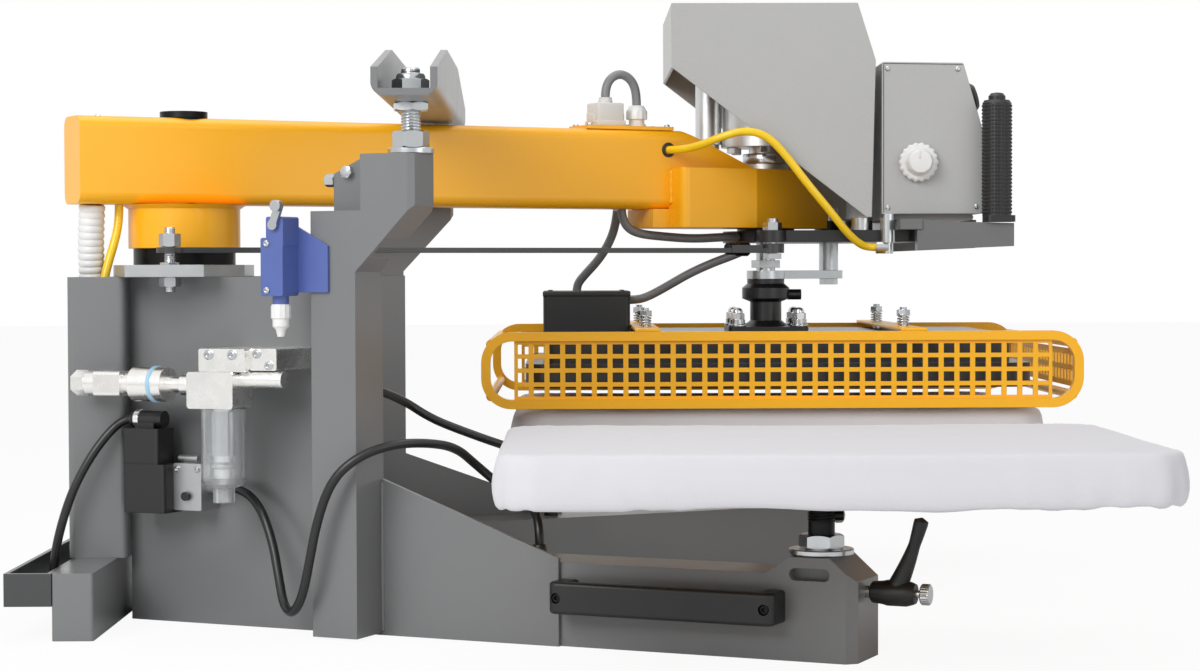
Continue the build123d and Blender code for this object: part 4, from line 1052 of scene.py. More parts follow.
@dataclass
class Table(Assembly):
    """One padded table on its threaded column."""

    name: str = "near"
    side: int = -1
    half_length: float = 265.0
    half_width: float = 182.0
    top: float = 180.8
    hem: float = 139.3
    board_half_length: float = 244.4
    board_half_width: float = 166.4
    board_top: float = 172.5
    thread_foot: float = 111.0
    thread_length: float = 32.0
    thread_radius: float = 11.05
    thread_pitch: float = 2.5
    crown_rings: int = 22
    crown_rise: float = 0.5
    swell_pressure: float = 1.2
    swell_frames: int = 9
    swell_cap: float = 3.0
    swell_rise: float = 0.3
    swell_share: float = 0.5
    pull_height: float = 2.4
    fold_height: float = 2.3
    pleat_height: float = 1.1
    pleat_waves: int = 90
    top_height: float = 0.12
    fold_cap: float = 1.0
    hem_rise: float = 4.0
    hem_fall: float = 1.2
    corner_points: int = 18
    long_points: int = 66
    short_points: int = 44

    def build(self) -> None:
        """Builds the cover and the column's thread."""
        self.dress(black_oxide_steel=f"{self.name}_column", birch_plywood=f"{self.name}_board")
        body = f"{self.name}_table"
        thread = screw_thread((STATION_X, self.side * STATION_Y, self.thread_foot),
                              self.thread_radius, self.thread_pitch, self.thread_length, 0.75, 48)
        self.fit(f"{self.name}_thread", thread, body, "black_oxide_steel", "black_steel")
        cover = self.fit(f"{self.name}_cloth", self.cover(), body, "cotton_cover", "cloth",
                         f"{self.name}_cover")

    def outline(self, half_x: float, half_y: float, radius: float, height: float) -> Ring:
        """A rounded rectangle whose points lie in the same places on every ring.

        Args:
            half_x: half its length.
            half_y: half its width.
            radius: its corner radius.
            height: its height.

        Returns:
            The ring in metres.
        """
        ring: Ring = []
        centres = [(sx * (half_x - radius), sy * (half_y - radius))
                   for sx, sy in ((1, 1), (-1, 1), (-1, -1), (1, -1))]
        for index, (x, y) in enumerate(centres):
            start, end = index * math.pi / 2, index * math.pi / 2 + math.pi / 2
            for k in range(self.corner_points):
                angle = start + math.pi / 2 * k / self.corner_points
                ring.append(Vector((x + radius * math.cos(angle), y + radius * math.sin(angle),
                                    height)))
            spoke = radius * math.cos(end), radius * math.sin(end)
            first = Vector((x + spoke[0], y + spoke[1], height))
            last = Vector((*centres[(index + 1) % 4], height)) + Vector((*spoke, 0))
            count = self.short_points if index % 2 else self.long_points
            ring += [first.lerp(last, k / count) for k in range(count)]
        shift = Vector((STATION_X, self.side * STATION_Y, 0))
        return [metres(p + shift) for p in ring]

    def cover(self) -> Piece:
        """The cotton cover: crowned top, soft sides and a gathered hem that turns inward.

        Returns:
            The cover.
        """
        rings = []
        for step in range(self.crown_rings):
            share = (step / self.crown_rings) ** 0.9
            half_y = 4 + (self.half_width - 26) * share
            half_x = self.half_length - self.half_width + half_y
            height = self.top + self.crown_rise * math.cos(share * math.pi / 2)
            rings.append(self.outline(half_x, half_y, min(24.0, half_y * 0.6), height))
        # Each row has the steps in X and Y from the cover's edge, a corner radius and a height.
        sides = [(dx, dy, radius, self.top + drop) for dx, dy, radius, drop in (
            (-9, -9, 32, 0.0), (-6.4, -6.2, 33, -0.5), (-4.4, -4.1, 33, -1.5),
            (-2.9, -2.6, 34, -3.4), (-1.8, -1.5, 34, -8.0), (-0.8, -0.6, 35, -16.0),
            (0, 0, 36, -25.0), (-0.2, -0.1, 36, -31.0), (-1.2, -1.0, 35, -36.5),
            (-2.6, -2.2, 34, -40.5), (-4.4, -4.0, 33, -42.4))]
        inner = [(-9, -9, 29, self.hem + 0.2), (-15, -12, 27, self.hem + 2.4),
                 (-19.4, -14.6, 25, self.hem + 6), (-20.3, -15.4, 24.4, self.hem + 12),
                 (-20.5, -15.5, 24.2, self.board_top - 12), (-20.6, -15.6, 24.0, self.board_top)]
        rings += [self.outline(self.half_length + dx, self.half_width + dy, radius, height)
                  for dx, dy, radius, height in sides + inner]
        rings += [self.outline(self.board_half_length - inset,
                               max(5.0, self.board_half_width - inset), 4.0, self.board_top)
                  for inset in (40, 90, 140)]
        points, faces = stack(rings)
        cover = add_mesh(points, faces, 75)
        soft = (self.crown_rings + len(sides)) * len(rings[0])
        self.swell(cover, soft)
        self.crease(cover, soft)
        return cover

    def swell(self, cover: Piece, soft: int) -> None:
        """Lets the foam push the cloth out a little, by a short cloth simulation.

        Args:
            cover: the cover, changed in place.
            soft: how many of its points may move, from the first.
        """
        rest = [v.co.copy() for v in cover.data.vertices]
        pins = cover.vertex_groups.new(name="pins")
        pins.add(list(range(soft, len(rest))), 1.0, "REPLACE")
        cloth = cover.modifiers.new("swell", "CLOTH")
        cloth.settings.quality = 4
        cloth.settings.use_pressure = True
        cloth.settings.uniform_pressure_force = self.swell_pressure
        cloth.settings.vertex_group_mass = "pins"
        cloth.settings.effector_weights.gravity = 0.0
        scene = bpy.context.scene
        for number in range(1, self.swell_frames + 1):
            scene.frame_set(number)
        depsgraph = bpy.context.evaluated_depsgraph_get()
        swollen = [v.co.copy() for v in cover.evaluated_get(depsgraph).data.vertices]
        cover.modifiers.remove(cloth)
        scene.frame_set(1)
        cap = self.swell_cap * MM
        for vertex, start, end in zip(cover.data.vertices[:soft], rest, swollen):
            step = end - start
            if step.length > cap:
                step *= cap / step.length
            # The press needs its gap, so the crown may hardly rise.
            step.z = min(step.z, self.swell_rise * MM)
            vertex.co = start + step * self.swell_share
        cover.vertex_groups.clear()

    def crease(self, cover: Piece, soft: int) -> None:
        """Adds soft pulls along the sides, pleats at the corners and an uneven hem.

        Args:
            cover: the cover, changed in place.
            soft: how many of its points may move, from the first.
        """
        middle = metres((STATION_X, self.side * STATION_Y, 0))
        seed = 3.0 if self.side < 0 else 11.0
        cover.data.update()
        normals = [v.normal.copy() for v in cover.data.vertices]
        for vertex, normal in zip(cover.data.vertices[:soft], normals):
            place = vertex.co - middle
            drop = (self.top * MM - vertex.co.z) / ((self.top - self.hem) * MM)
            drop = max(0.0, min(1.0, drop))
            around = math.atan2(place.y / self.half_width, place.x / self.half_length)
            corner = abs(math.sin(2 * around)) ** 6
            pull = noise.noise(Vector((place.x * 26 + place.z * 30, place.y * 26, seed)))
            broad = noise.noise(Vector((place.x * 9, place.y * 9, place.z * 12 + seed)))
            pleat = math.sin(around * self.pleat_waves) * corner
            lift = (self.pull_height * pull + self.fold_height * broad) * drop
            lift += self.pleat_height * pleat * drop
            wave = noise.noise(Vector((place.x * 14, place.y * 14, seed + 5)))
            lift += self.top_height * wave * (1 - drop)
            # Outward folds stay small, because the guard comes down just outside the cover.
            vertex.co += normal * min(lift, self.fold_cap) * MM
            hem = noise.noise(Vector((place.x * 7 + 2, place.y * 7, seed + 9)))
            vertex.co.z += max(-self.hem_fall, self.hem_rise * hem) * MM * drop ** 3


@dataclass
class ClampLever(Assembly):
    """Ratchet lever on the end of a leg, with its zinc end screw."""

    name: str = "near"
    side: int = 1
    stud_start: float = 627.6
    start: float = 651.6
    height: float = 56.0
    tip: float = 118.0

    def build(self) -> None:
        """Builds the lever in place of its plain CAD form."""
        def spot(along: float, height: float = self.height) -> Point:
            """A point in the middle plane of the leg."""
            return LAYOUT.leg(along, LEG_MIDDLE, height, self.side)

        axis = LAYOUT.leg_direction(self.side)
        hub = turned(spot(self.start), [(7.0, 0), (8.6, 1.4), (9.4, 10), (10.6, 14), (10.6, 30),
                                        (9.2, 35), (8, 37.6)], 48, axis, flutes(16, 0.03, high=11))
        low = metres(spot(self.start + 22, self.height + 5))
        reach = metres(spot(self.start + 43, self.tip)) - low
        line = [low + reach * (i / 24) + axis * (0.0016 * math.sin(i / 24 * math.pi))
                for i in range(25)]
        length = reach.length

        def girth(run: float) -> float:
            """Radius of the handle, from its root to its rounded tip.

            Args:
                run: distance from the root in metres.

            Returns:
                The radius in metres.
            """
            share = run / length
            body = 8.4 - 3.6 * min(1.0, share * 1.6) + 1.5 * max(0.0, share - 0.6) / 0.4
            end = math.sqrt(max(0.0, 1 - ((share - 0.94) / 0.06) ** 2)) if share > 0.94 else 1.0
            return body * max(0.12, end) * MM

        body = f"{self.name}_clamp"
        self.fit(f"{self.name}_clamp_lever", [hub, tube(line, girth, 28)], body, "black_nylon",
                 "black_plastic", f"{self.name}_lever")
        stud = turned(spot(self.stud_start), [(4.9, 0), (4.9, 24.6)], 24, axis)
        knob = turned(spot(self.start + 37.2), [(3.2, 0), (3.2, 4.2), (7.6, 5.2), (8.5, 6.2),
                                                (8.5, 11.6), (7.6, 12.6)], 48, axis,
                      flutes(24, 0.025, low=5))
        self.fit(f"{self.name}_end_screw", [stud, knob], body, "zinc_plated_steel", "zinc")


@dataclass
class SwingArm(Assembly):
    """The yellow arm with its hub, nose and electrical socket."""

    top: float = 460.0
    cover_top: float = 463.7
    socket_along: float = 444.0
    gland_along: float = 480.0

    def build(self) -> None:
        """Dresses the arm and adds the socket, gland, screws, welds, grommet and fork end."""
        self.dress(arm_powder_coat="arm_tube pivot_hub arm_nose", tray_black_paint="link_bar")
        base, ahead = self.cover_top, LAYOUT.arm_direction()
        gland = turned(LAYOUT.arm(self.gland_along, 0, base),
                       [(9.6, 0), (9.6, 2.6), (8.0, 3.0), (8.0, 7.4), (10.4, 7.8), (10.4, 16),
                        (9.6, 17.4), (7.6, 21.2), (6.0, 22)], 60, shape=flutes(12, 0.04, 7.5, 17))
        entry = turned(LAYOUT.arm(self.socket_along, 0, base + 23),
                       [(7.2, 0), (7.2, 3.2), (6.5, 3.8), (6.5, 6.2)], 36)
        self.fit("arm_socket", [
            self.block(4, 23.4, 14.8, 12.8, 0, 1.6), self.block(0, 5.6, 16.6, 13.4, 0, 0.8),
            self.block(3, 13, 1.6, 8.0, -16.0, 0.6), self.block(3, 13, 1.6, 8.0, 16.0, 0.6), entry],
            "arm", "grey_abs", "grey_plastic", "arm_connector")
        self.fit("arm_gland", gland, "arm", "white_acetal", "white_metal")
        self.fit("arm_screws", [
            turned(LAYOUT.arm(along, across, level),
                   [(3.0, 0), (3.0, 1.4), (2.2, 2.3), (0.8, 2.6)], 20)
            for along, across, level in ((-80, 6, self.top), (418, -15, base), (418, 15, base),
                                         (507, -15, base), (507, 15, base), (466, 0, base))],
            "arm", "zinc_plated_steel", "zinc")
        self.fit("arm_welds", [
            weld(LAYOUT.arm(506.2, side * 25.6, 386), 33, 24, (0.0024, 0.0002, 700), 12)
            for side in (-1, 1)], "arm", "arm_powder_coat", "arm_paint")
        self.fit("hose_grommet", turned(
            LAYOUT.arm(503, -24.2, 440), [(7.2, 0), (7.6, 1.2), (7.0, 2.2), (4.6, 2.2), (4.4, 0.6)],
            32, Vector((ahead.y, -ahead.x, 0))), "arm", "black_nylon", "black_plastic")
        start = Vector((0, -LAYOUT.link_offset, 0)) + ahead * (LAYOUT.arm_reach - 54)
        self.fit("link_clevis", [turned(
            (start.x, start.y, 339.2),
            [(5.4, 0), (6.2, 0.8), (6.2, 11), (7.4, 12), (7.4, 24), (6.6, 25)], 24, ahead)],
            "link", "black_oxide_steel", "black_steel")

    def block(self, low: float, high: float, half_along: float, half_across: float,
              shift: float, bevel: float) -> Piece:
        """A block of the socket.

        Args:
            low: height of its floor over the arm's cover plate.
            high: height of its top over the cover plate.
            half_along: half its size along the arm.
            half_across: half its size across.
            shift: how far it stands from the socket's middle, along the arm.
            bevel: radius of its edges.

        Returns:
            The block.
        """
        floor, top = self.cover_top + low, self.cover_top + high
        return plate([LAYOUT.arm(self.socket_along + shift + i * half_along, j * half_across, floor)
                      for i, j in CORNERS], Vector((0, 0, top - floor)), bevel)


@dataclass
class Head(Assembly):
    """Hood, control box, knob, handles and the cylinder."""

    knob_x: float = 710.0
    knob_z: float = 425.8
    box_front: float = 104.0
    grip_x: float = 787.0
    grip_y: float = 120.0
    grip_foot: float = 373.0
    grip_top: float = 483.0
    knurl_rows: int = 30
    knurl_around: int = 28
    flange_radius: float = 38.0

    def build(self) -> None:
        """Dresses the head and adds the knob, the grips' sleeves, screws, seams and rings."""
        self.dress(hood_hammer_paint="head_cover control_box", black_satin_paint="head_plate",
                   drawn_barrel_aluminium="cylinder", bracket_grey_paint="handle_bracket",
                   black_nylon="grips near_thumb_button far_thumb_button stop_button",
                   zinc_plated_steel="head_fittings")
        self.fit("pressure_knob", self.knob(), "knob", "white_acetal", "white_metal", "side_knob")
        for side, name in ((-1, "near"), (1, "far")):
            self.fit(f"{name}_grip_sleeve", self.knurl(side), "head", "black_grip_rubber",
                     "black_plastic")
        self.fit("box_screws", [
            turned((x, STATION_Y + side * self.box_front, z),
                   [(2.6, 0), (2.6, 0.7), (1.7, 1.5), (0.6, 1.6)], 18, Vector((0, side, 0)))
            for side in (-1, 1)
            for x, z in ((679.5, 380), (769, 381), (679.5, 520), (750, 519.5))],
            "head", "zinc_plated_steel", "zinc")
        seams = []
        for side in (-1, 1):
            y = STATION_Y + side * (self.box_front + 0.05)
            line = [metres(p) for p in ((675.4, y, 375.6), (675.4, y, 525.4), (754.8, y, 524.2))]
            seams += [tube(list(ends), 0.00035, 8) for ends in zip(line, line[1:])]
        self.fit("box_seams", seams, "head", "black_satin_paint", "black_steel")
        rings = [turned((STATION_X, STATION_Y, 428.4), [
            (17.6, 0), (23.4, 0.6), (24, 2), (24, 9), (23.2, 10.6), (17.6, 11.2)], 56)]
        for i in range(6):
            angle = math.radians(60 * i + 20)
            rings.append(hex_nut((STATION_X + self.flange_radius * math.cos(angle),
                                  STATION_Y + self.flange_radius * math.sin(angle), 439.4),
                                 10, 6.4, 17 * i))
        self.fit("cylinder_rings", rings, "head", "turned_steel", "steel")

    def knob(self) -> list[Piece]:
        """The scalloped adjusting knob on the box's near side, with its stem and pointer rib.

        Returns:
            The separate parts.
        """
        foot = (self.knob_x, STATION_Y - self.box_front - 0.3, self.knob_z)
        out = Vector((0, -1, 0))
        return [
            turned(foot, [(17, 0), (18.6, 1.0), (19.2, 3.2), (19.2, 6.6), (17.4, 8.2), (13.6, 8.6)],
                   144, out, flutes(18, 0.035)),
            turned(foot, [(14.2, 7.6), (13.6, 9.4), (12.4, 16), (12.0, 20.2), (10.6, 21.8),
                          (6.0, 22.3)], 72, out,
                   lambda angle, height: 1 + 0.02 * max(-0.2, math.cos(10 * angle))),
            turned((self.knob_x, STATION_Y - self.box_front + 13, self.knob_z),
                   [(7.9, 0), (7.9, 14)], 32, out),
            plate([(self.knob_x - 2 + i * 1.6, foot[1] - 21.6, self.knob_z + j)
                   for i, j in ((0, 3), (1, 3), (1, 11), (0, 11))], Vector((0, -1.6, 0)), 0.4)]

    def knurl(self, side: int) -> Piece:
        """The grip's rubber sleeve with rows of raised blocks.

        Args:
            side: -1 for the near grip, 1 for the far one.

        Returns:
            The sleeve.
        """
        steps = 6
        pitch = (self.grip_top - self.grip_foot) / self.knurl_rows

        def blocks(angle: float, height: float) -> float:
            """Raised blocks: a wave round the grip times one along it, both cut off flat.

            Args:
                angle: angle round the grip.
                height: height over its foot.

            Returns:
                The factor on the radius.
            """
            along = 0.5 - 0.5 * math.cos(2 * math.pi * height / pitch)
            across = 0.5 + 0.5 * math.cos(self.knurl_around * angle)
            return 1 + 0.085 * (min(1.0, along * 1.7) * min(1.0, across * 1.7))

        return turned((self.grip_x, STATION_Y + side * self.grip_y, self.grip_foot),
                      [(14.0, row * pitch / steps) for row in range(self.knurl_rows * steps + 1)],
                      168, shape=blocks)


@dataclass
class PressGroup(Assembly):
    """Heating platen with its guard, straps, spring bolts and coupling."""

    strap_x: float = 130.0
    bolt_y: float = 110.0
    platen_top: float = 254.0
    guard_top: float = 258.0
    guard_width: float = 384.0
    strap_width: float = 25.0
    strap_thickness: float = 3.0
    spring_turns: float = 3.4
    spring_height: float = 10.5
    spring_radius: float = 5.6
    foot_stud: float = 32.0
    lid_x: float = 376.0
    lid_shift: float = 10.0

    def build(self) -> None:
        """Dresses the group and adds its straps, bolts, springs and the terminal box's lid."""
        self.dress(tray_black_paint="heat_platen", guard_dip_coat="guard guard_nets",
                   black_nylon="terminal_box", black_satin_paint="platen_coupling",
                   turned_steel="piston_rod", zinc_plated_steel="torque_plate")
        half, reach = self.strap_width / 2, self.guard_width / 2
        self.fit("guard_straps", [
            plate([(STATION_X + side * self.strap_x + i * half, STATION_Y + j * reach,
                    self.guard_top) for i, j in CORNERS],
                  Vector((0, 0, self.strap_thickness)), 0.5) for side in (-1, 1)],
            "press", "guard_dip_coat", "guard_paint", "spring_bolts")
        self.fit("strap_bolts", [part for side in (-1, 1) for row in (-1, 1)
                                 for part in self.strap_bolt(side, row)],
                 "press", "zinc_plated_steel", "zinc")
        feet = []
        for i, j in CORNERS:
            x, y = STATION_X + self.foot_stud * i, STATION_Y + self.foot_stud * j
            feet += [turned((x, y, 259), [(9, 0), (9.4, 0.6), (9.4, 2.2), (8, 2.8), (8, 7.6)], 32),
                     hex_nut((x, y, 266.6), 13, 6.6, 11 * i),
                     turned((x, y, 273), [(5.6, 0), (5.4, 2.4), (4.2, 4.6), (1.6, 5.8)], 28)]
        self.fit("foot_bolts", feet, "press", "turned_steel", "steel")
        y = STATION_Y + self.lid_shift
        lid = plate([(self.lid_x + i * 45.4, y + j * 50.4, 290.6) for i, j in CORNERS],
                    Vector((0, 0, 5.8)), 1.2)
        self.fit("terminal_lid", [lid] + [
            turned((self.lid_x + 38 * i, y + 43 * j, 296.2),
                   [(2.8, 0), (2.8, 0.7), (1.6, 1.0), (1.4, 0.4)], 20) for i, j in CORNERS],
            "press", "black_nylon", "black_plastic")

    def strap_bolt(self, side: int, row: int) -> list[Piece]:
        """A bolt with its coil spring, washer and nut.

        Args:
            side: which strap, -1 or 1 along X.
            row: which end of it, -1 or 1 along Y.

        Returns:
            The separate parts.
        """
        x, y = STATION_X + side * self.strap_x, STATION_Y + row * self.bolt_y
        top = self.guard_top + self.strap_thickness
        seat = top + self.spring_height
        whole = 2 * math.pi * self.spring_turns
        line = [metres((x + self.spring_radius * math.cos(a), y + self.spring_radius * math.sin(a),
                        top + 0.8 + (self.spring_height - 1.6) * a / whole))
                for a in (whole * k / 110 for k in range(111))]
        return [turned((x, y, self.platen_top), [(3.6, 0), (3.6, 26)], 24), tube(line, 0.0008, 10),
                turned((x, y, seat), [(6.8, 0), (6.8, 1.0)], 28),
                hex_nut((x, y, seat + 1.0), 12, 5, 20 * row)]


class Skin(Enum):
    """Finish, material slot and diameter in millimetres of each kind of cord."""

    BLACK = ("black_pvc", "cable_black", 8)
    YELLOW = ("yellow_polyurethane", "hose_yellow", 8)
    GREY = ("grey_pvc", "cable_grey", 9)


@dataclass(frozen=True)
class CordRun:
    """One cord, with the route that its CAD tube follows and the bodies that it joins."""

    name: str
    node: str
    skin: Skin
    length: float
    bodies: tuple[str, ...]
    route: tuple[Point, ...]
    stiffness: str = "medium"
    lay: str = "loose"


@dataclass
class Cabling(Assembly):
    """Every hose and cable. Lengths are those of the CAD tubes, in millimetres."""

    conduit_ribs: int = 14

    def runs(self) -> tuple[CordRun, ...]:
        """The cords and their routes.

        Returns:
            Every cord, in the order in which they are made.
        """
        leg, arm = LAYOUT.leg, LAYOUT.arm
        near = leg(LAYOUT.near_gland, LEG_MIDDLE, 0)[:2]
        far = leg(LAYOUT.far_gland, LEG_MIDDLE, 0, -1)[:2]
        rim = 45.6 / math.sqrt(2)
        rim_x, rim_y = STATION_X - rim, STATION_Y - rim
        port_y = STATION_Y - 100
        return (
            CordRun("supply_cable", "base_hoses", Skin.BLACK, 179.5, ("base",), (
                leg(-22.6, -33, 186), leg(-32, -33, 186), (-57, -80, 174), (-73, -85, 152),
                (-88, -87, 124), (-99, -87, 92), (-106, -86, 62), (-108, -85, 34.3))),
            CordRun("air_hose", "base_hoses", Skin.BLACK, 568.7, ("base",), (
                leg(61, -19, 126), leg(80, -19, 126), leg(102, -22, 112), leg(120, -30, 82),
                leg(134, -42, 50), leg(146, -54, 28), leg(160, -63, 22), leg(172, -66, 38),
                leg(180, -67, 70), leg(188, -67, 106), leg(202, -67, 140), leg(222, -58, 160),
                leg(244, -36, 170), leg(262, -8, 170), leg(272, 28, 164), (276, -128, 146),
                (301, -124, 124), (323, -145, 112), (*near, 104), (*near, 82.3))),
            CordRun("heater_feed", "base_hoses", Skin.BLACK, 457.1, ("base",), (
                leg(150, 0.3, 222), (175, -70, 214), (203, -26, 199.6), (228.7, -20, 181.9),
                (256.4, -20, 170.6), (293.4, -18, 157), (318, 4, 148), (334, 48, 130),
                (340, 100, 113), (341, 145, 104), (*far, 102), (*far, 82.3))),
            CordRun("yellow_swing_hose", "swing_hose", Skin.YELLOW, 93.1, ("arm", "base"), (
                (-55.3, -30, 379.7), (-55.3, -30, 366), (-58, -35, 348), (-63, -42, 328),
                (-67, -46, 309), (-69, -47, 290)), lay="hanging"),
            CordRun("yellow_nose_hose", "nose_hose", Skin.YELLOW, 280.5, ("arm", "head"), (
                arm(503, -26, 440), (474, 190, 439.5), (490, 176, 443), (509.6, 166, 451),
                (534.2, 162, 457.5), (556, 161, 452), (575, 161, 432), (595, 161, 405),
                (619.7, 165, 376), (636, 172, 356), (650, 182, 344), (660, port_y, 340.5),
                (668, port_y, 340.5))),
            CordRun("heater_lead_one", "head_cables", Skin.GREY, 108.6, ("arm", "head"), (
                (407.5, 234, 379.5), (406, 238, 364), (399, 248, 345), (388, 262, 328),
                (374, 276, 313), (366, 282, 303), (366, 282, 296)), lay="hanging"),
            CordRun("heater_lead_two", "head_cables", Skin.GREY, 138.6, ("head", "press"), (
                (544, 250, 340), (528, 254, 333), (506, 258, 325), (482, 264, 314),
                (460, 272, 301), (442, 279, 291), (430, 281, 287), (421.3, 281, 287)),
                lay="hanging"),
            CordRun("connector_lead", "connector_loop", Skin.GREY, 73.5, ("arm",), (
                arm(444, 0, 493.1), arm(444, 0, 502), arm(450, 0, 513), arm(462, 0, 518),
                arm(474, 0, 512), arm(480, 0, 499), arm(480, 0, 485.7)), "stiff"),
            CordRun("head_cable", "connector_loop", Skin.GREY, 144.8, ("arm", "head"), (
                (411.6, 214, 379.7), (412.5, 214.5, 367), (425, 221, 355.5), (458, 233, 352),
                (487, 239, 350), (rim_x - 12, rim_y - 12, 352), (rim_x, rim_y, 352)),
                lay="hanging"),
        )

    def build(self) -> None:
        """Makes every cord and the ribbed conduit."""
        for run in self.runs():
            self.lay(run)
        self.conduit()
        # The lead's spare length stands in the terminal box until the platen goes down.
        self.fit("lead_spare", turned((366, 282, 270),
                                      [(3.4, 0), (4.3, 1.2), (4.5, 3.0), (4.5, 26.4)], 24),
                 "head", "grey_pvc", "cable_grey")

    def spline(self, name: str, route: Sequence[Point]) -> Piece:
        """A smooth curve object with the route's points as control points.

        Args:
            name: its name.
            route: the points in millimetres.

        Returns:
            The curve object.
        """
        curve = bpy.data.curves.new(name, "CURVE")
        curve.dimensions = "3D"
        curve.resolution_u = 16
        line = curve.splines.new("NURBS")
        line.points.add(len(route) - 1)
        for control, point in zip(line.points, route):
            control.co = (*metres(point), 1.0)
        line.order_u = 3
        line.use_endpoint_u = True
        return add_object(name, curve)

    def line_of(self, holder: Piece) -> list[Vector]:
        """The points along a curve with no thickness, which is then removed.

        Args:
            holder: the curve object.

        Returns:
            The points in metres.
        """
        bpy.context.view_layer.update()
        mesh = bpy.data.meshes.new_from_object(holder)
        points = [v.co.copy() for v in mesh.vertices]
        bpy.data.meshes.remove(mesh)
        bpy.data.objects.remove(holder)
        return points

    def lay(self, run: CordRun) -> None:
        """Args:
            run: the cord.
        """
        finish, slot, diameter = run.skin.value
        piece = self.spline(run.name, run.route)
        path = None
        if len(run.bodies) == 2:
            path = self.line_of(piece)
            piece = tube(path, diameter / 2 * MM)
            piece.name = piece.data.name = run.name
            self.finishes.paint(piece, finish)
            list(run.bodies)
            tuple(path[0])
            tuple(path[-1])
            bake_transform(piece)
        else:
            piece.data.bevel_depth = diameter / 2 * MM
            piece.data.bevel_resolution = 5
            piece.data.use_fill_caps = True
            self.finishes.paint(piece, finish)
            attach(piece, run.bodies[0])
        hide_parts(run.node)
        metres(run.route[0])
        LOG.info("cord %s", run.name)

    def conduit(self) -> None:
        """The white ribbed conduit between the arm and the column."""
        path = self.line_of(self.spline("conduit_line", [
            (-78, -40, 379.7), (-79.4, -38, 360), (-80.4, -35, 335), (-80, -32, 312),
            (-79, -30, 292)]))
        fine = [a.lerp(b, k / 4) for a, b in zip(path, path[1:]) for k in range(4)] + [path[-1]]
        total = sum((b - a).length for a, b in zip(fine, fine[1:]))

        def ribs(run: float) -> float:
            """Radius of the corrugations along the conduit.

            Args:
                run: distance from its upper end in metres.

            Returns:
                The radius in metres.
            """
            phase = (run / total * self.conduit_ribs) % 1.0
            crest = math.sin(math.pi * phase) ** 0.6 if 0 < phase < 1 else 0.0
            return (10.6 + 1.4 * crest) * MM

        piece = tube(fine, ribs, 36)
        piece.name = piece.data.name = "ribbed_conduit"
        self.finishes.paint(piece, "white_corrugated")
        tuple(path[0])
        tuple(path[-1])
        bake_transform(piece)
        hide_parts("conduit")
        LOG.info("piece ribbed_conduit")


@dataclass(frozen=True)
class Camera:
    """The photograph's camera, found from the machine's own straight edges."""

    place: Point = (358.2, -2325.2, 319.75)
    yaw: float = 0.7
    tilt: float = 1.54
    roll: float = -0.18
    lens: float = 74.70
    sensor: float = 36.0
    sight: float = 50.0

    def build(self) -> None:
        """Makes the camera and sets it as the scene's."""
        yaw, tilt, roll = (math.radians(v) for v in (self.yaw, self.tilt, self.roll))
        forward = Vector((math.sin(yaw) * math.cos(tilt), math.cos(yaw) * math.cos(tilt),
                          -math.sin(tilt)))
        right = Vector((math.cos(yaw), -math.sin(yaw), 0))
        up = right.cross(forward)
        level_right = right * math.cos(roll) + up * math.sin(roll)
        level_up = up * math.cos(roll) - right * math.sin(roll)
        turn = Matrix((level_right, level_up, -forward)).transposed()
        data = bpy.data.cameras.new("photo_camera")
        data.lens = self.lens
        data.sensor_width = self.sensor
        data.sensor_fit = "HORIZONTAL"
        data.clip_end = self.sight
        holder = add_object("photo_camera", data)
        holder.matrix_world = Matrix.Translation(metres(self.place)) @ turn.to_4x4()
        bpy.context.scene.camera = holder


@dataclass(frozen=True)
class Lamp:
    """One soft box."""

    name: str
    place: Point
    aim: Point
    size: float
    power: float


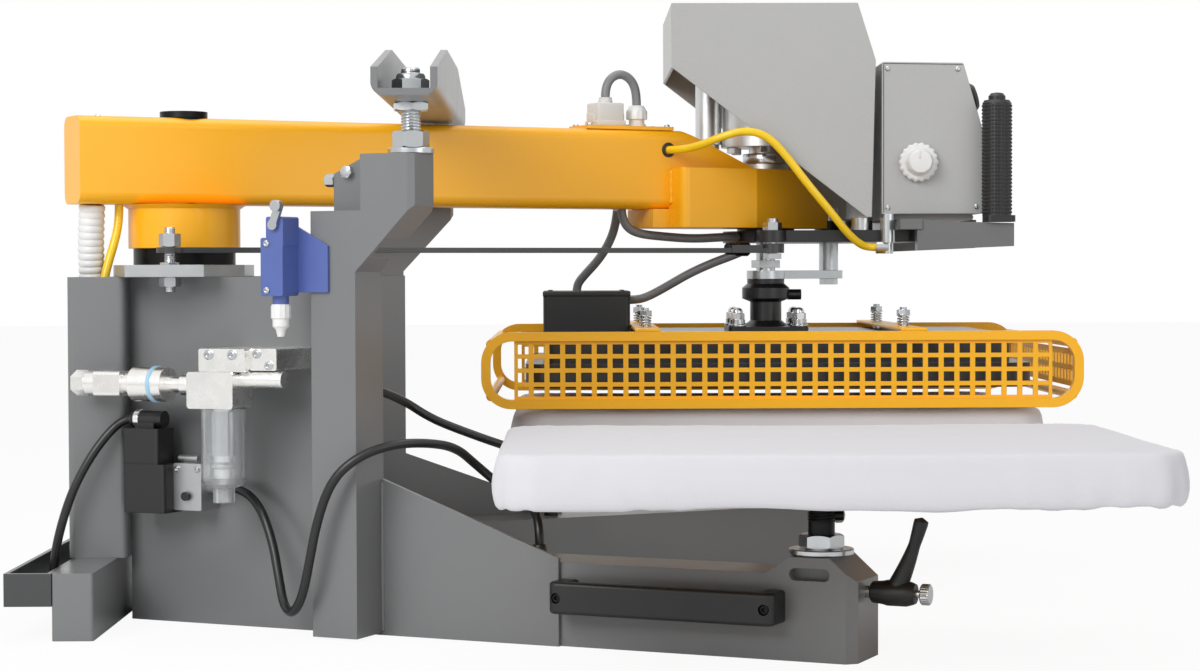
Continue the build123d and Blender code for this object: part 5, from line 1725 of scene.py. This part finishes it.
@dataclass
class Studio:
    """Pale floor, white surroundings and soft boxes."""

    lamps: tuple[Lamp, ...] = (
        Lamp("key", (-900, -2000, 1500), (300, 0, 250), 1.3, 40),
        Lamp("fill", (1900, -1700, 900), (500, 0, 200), 1.2, 6),
        Lamp("top", (400, 200, 2200), (400, 100, 300), 1.6, 15),
    )
    ambient: float = 0.42
    mirrored: float = 0.9
    floor_half: float = 12.0
    floor_glow: float = 0.93

    def build(self) -> None:
        """Makes the lights, the floor and the world."""
        for lamp in self.lamps:
            data = bpy.data.lights.new(lamp.name, "AREA")
            data.shape = "SQUARE"
            data.size = lamp.size
            data.energy = lamp.power
            holder = add_object(lamp.name, data)
            place, aim = metres(lamp.place), metres(lamp.aim)
            holder.location = place
            holder.rotation_euler = (aim - place).to_track_quat("-Z", "Y").to_euler()
        self.floor()
        self.world()

    def floor(self) -> None:
        """A plain pale floor that keeps a soft shadow."""
        piece = add_mesh([Vector((i * self.floor_half, j * self.floor_half, 0))
                          for i, j in CORNERS], [(0, 1, 2, 3)], name="floor")
        material = bpy.data.materials.new("white_sweep")
        tree = empty_tree(material)
        paper = add_node(tree, "ShaderNodeBsdfPrincipled",
                         values={"Base Color": linear("#f2f2f2"), "Roughness": 0.8})
        glow = add_node(tree, "ShaderNodeEmission", values={"Color": (1, 1, 1, 1)})
        eye = add_node(tree, "ShaderNodeLightPath")
        share = add_node(tree, "ShaderNodeMath", {"operation": "MULTIPLY"},
                         {1: self.floor_glow},
                         {0: eye.outputs["Is Camera Ray"]})
        both = add_node(tree, "ShaderNodeMixShader",
                        links={0: share.outputs["Value"], 1: paper.outputs["BSDF"],
                               2: glow.outputs["Emission"]})
        add_node(tree, "ShaderNodeOutputMaterial", links={"Surface": both.outputs["Shader"]})
        piece.data.materials.append(material)

    def world(self) -> None:
        """White surroundings: dim for the light they give, full for what the eye and metal see."""
        world = bpy.data.worlds.new("surroundings")
        bpy.context.scene.world = world
        tree = empty_tree(world)
        path = add_node(tree, "ShaderNodeLightPath")
        seen = add_node(tree, "ShaderNodeMath", {"operation": "MAXIMUM"},
                        links={0: path.outputs["Is Camera Ray"],
                               1: path.outputs["Is Transmission Ray"]})
        shine = add_node(tree, "ShaderNodeMath", {"operation": "MULTIPLY"},
                         {1: self.mirrored},
                         {0: path.outputs["Is Glossy Ray"]})
        any_of = add_node(tree, "ShaderNodeMath", {"operation": "MAXIMUM"},
                          links={0: seen.outputs["Value"], 1: shine.outputs["Value"]})
        strength = add_node(tree, "ShaderNodeMapRange",
                            values={"To Min": self.ambient, "To Max": 1.0},
                            links={"Value": any_of.outputs["Value"]})
        light = add_node(tree, "ShaderNodeBackground", values={"Color": (1, 1, 1, 1)},
                         links={"Strength": strength.outputs["Result"]})
        add_node(tree, "ShaderNodeOutputWorld", links={"Surface": light.outputs["Background"]})


def write_sizes() -> None:
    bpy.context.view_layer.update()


def main() -> None:
    """Builds the whole scene in order."""
    logging.basicConfig(level=logging.INFO, format="%(name)s: %(message)s")
    bpy.context.scene.view_settings.view_transform = "Standard"
    Camera().build()
    Studio().build()
    finishes = Finishes()
    for kind in (Cabling, BaseFrame, AirPanel, SwingArm, Head, PressGroup):
        kind(finishes).build()
    for name, table_side, leg_side in (("near", -1, 1), ("far", 1, -1)):
        Table(finishes, name, table_side).build()
        ClampLever(finishes, name, leg_side).build()
    write_sizes()


if __name__ == "__main__":
    main()
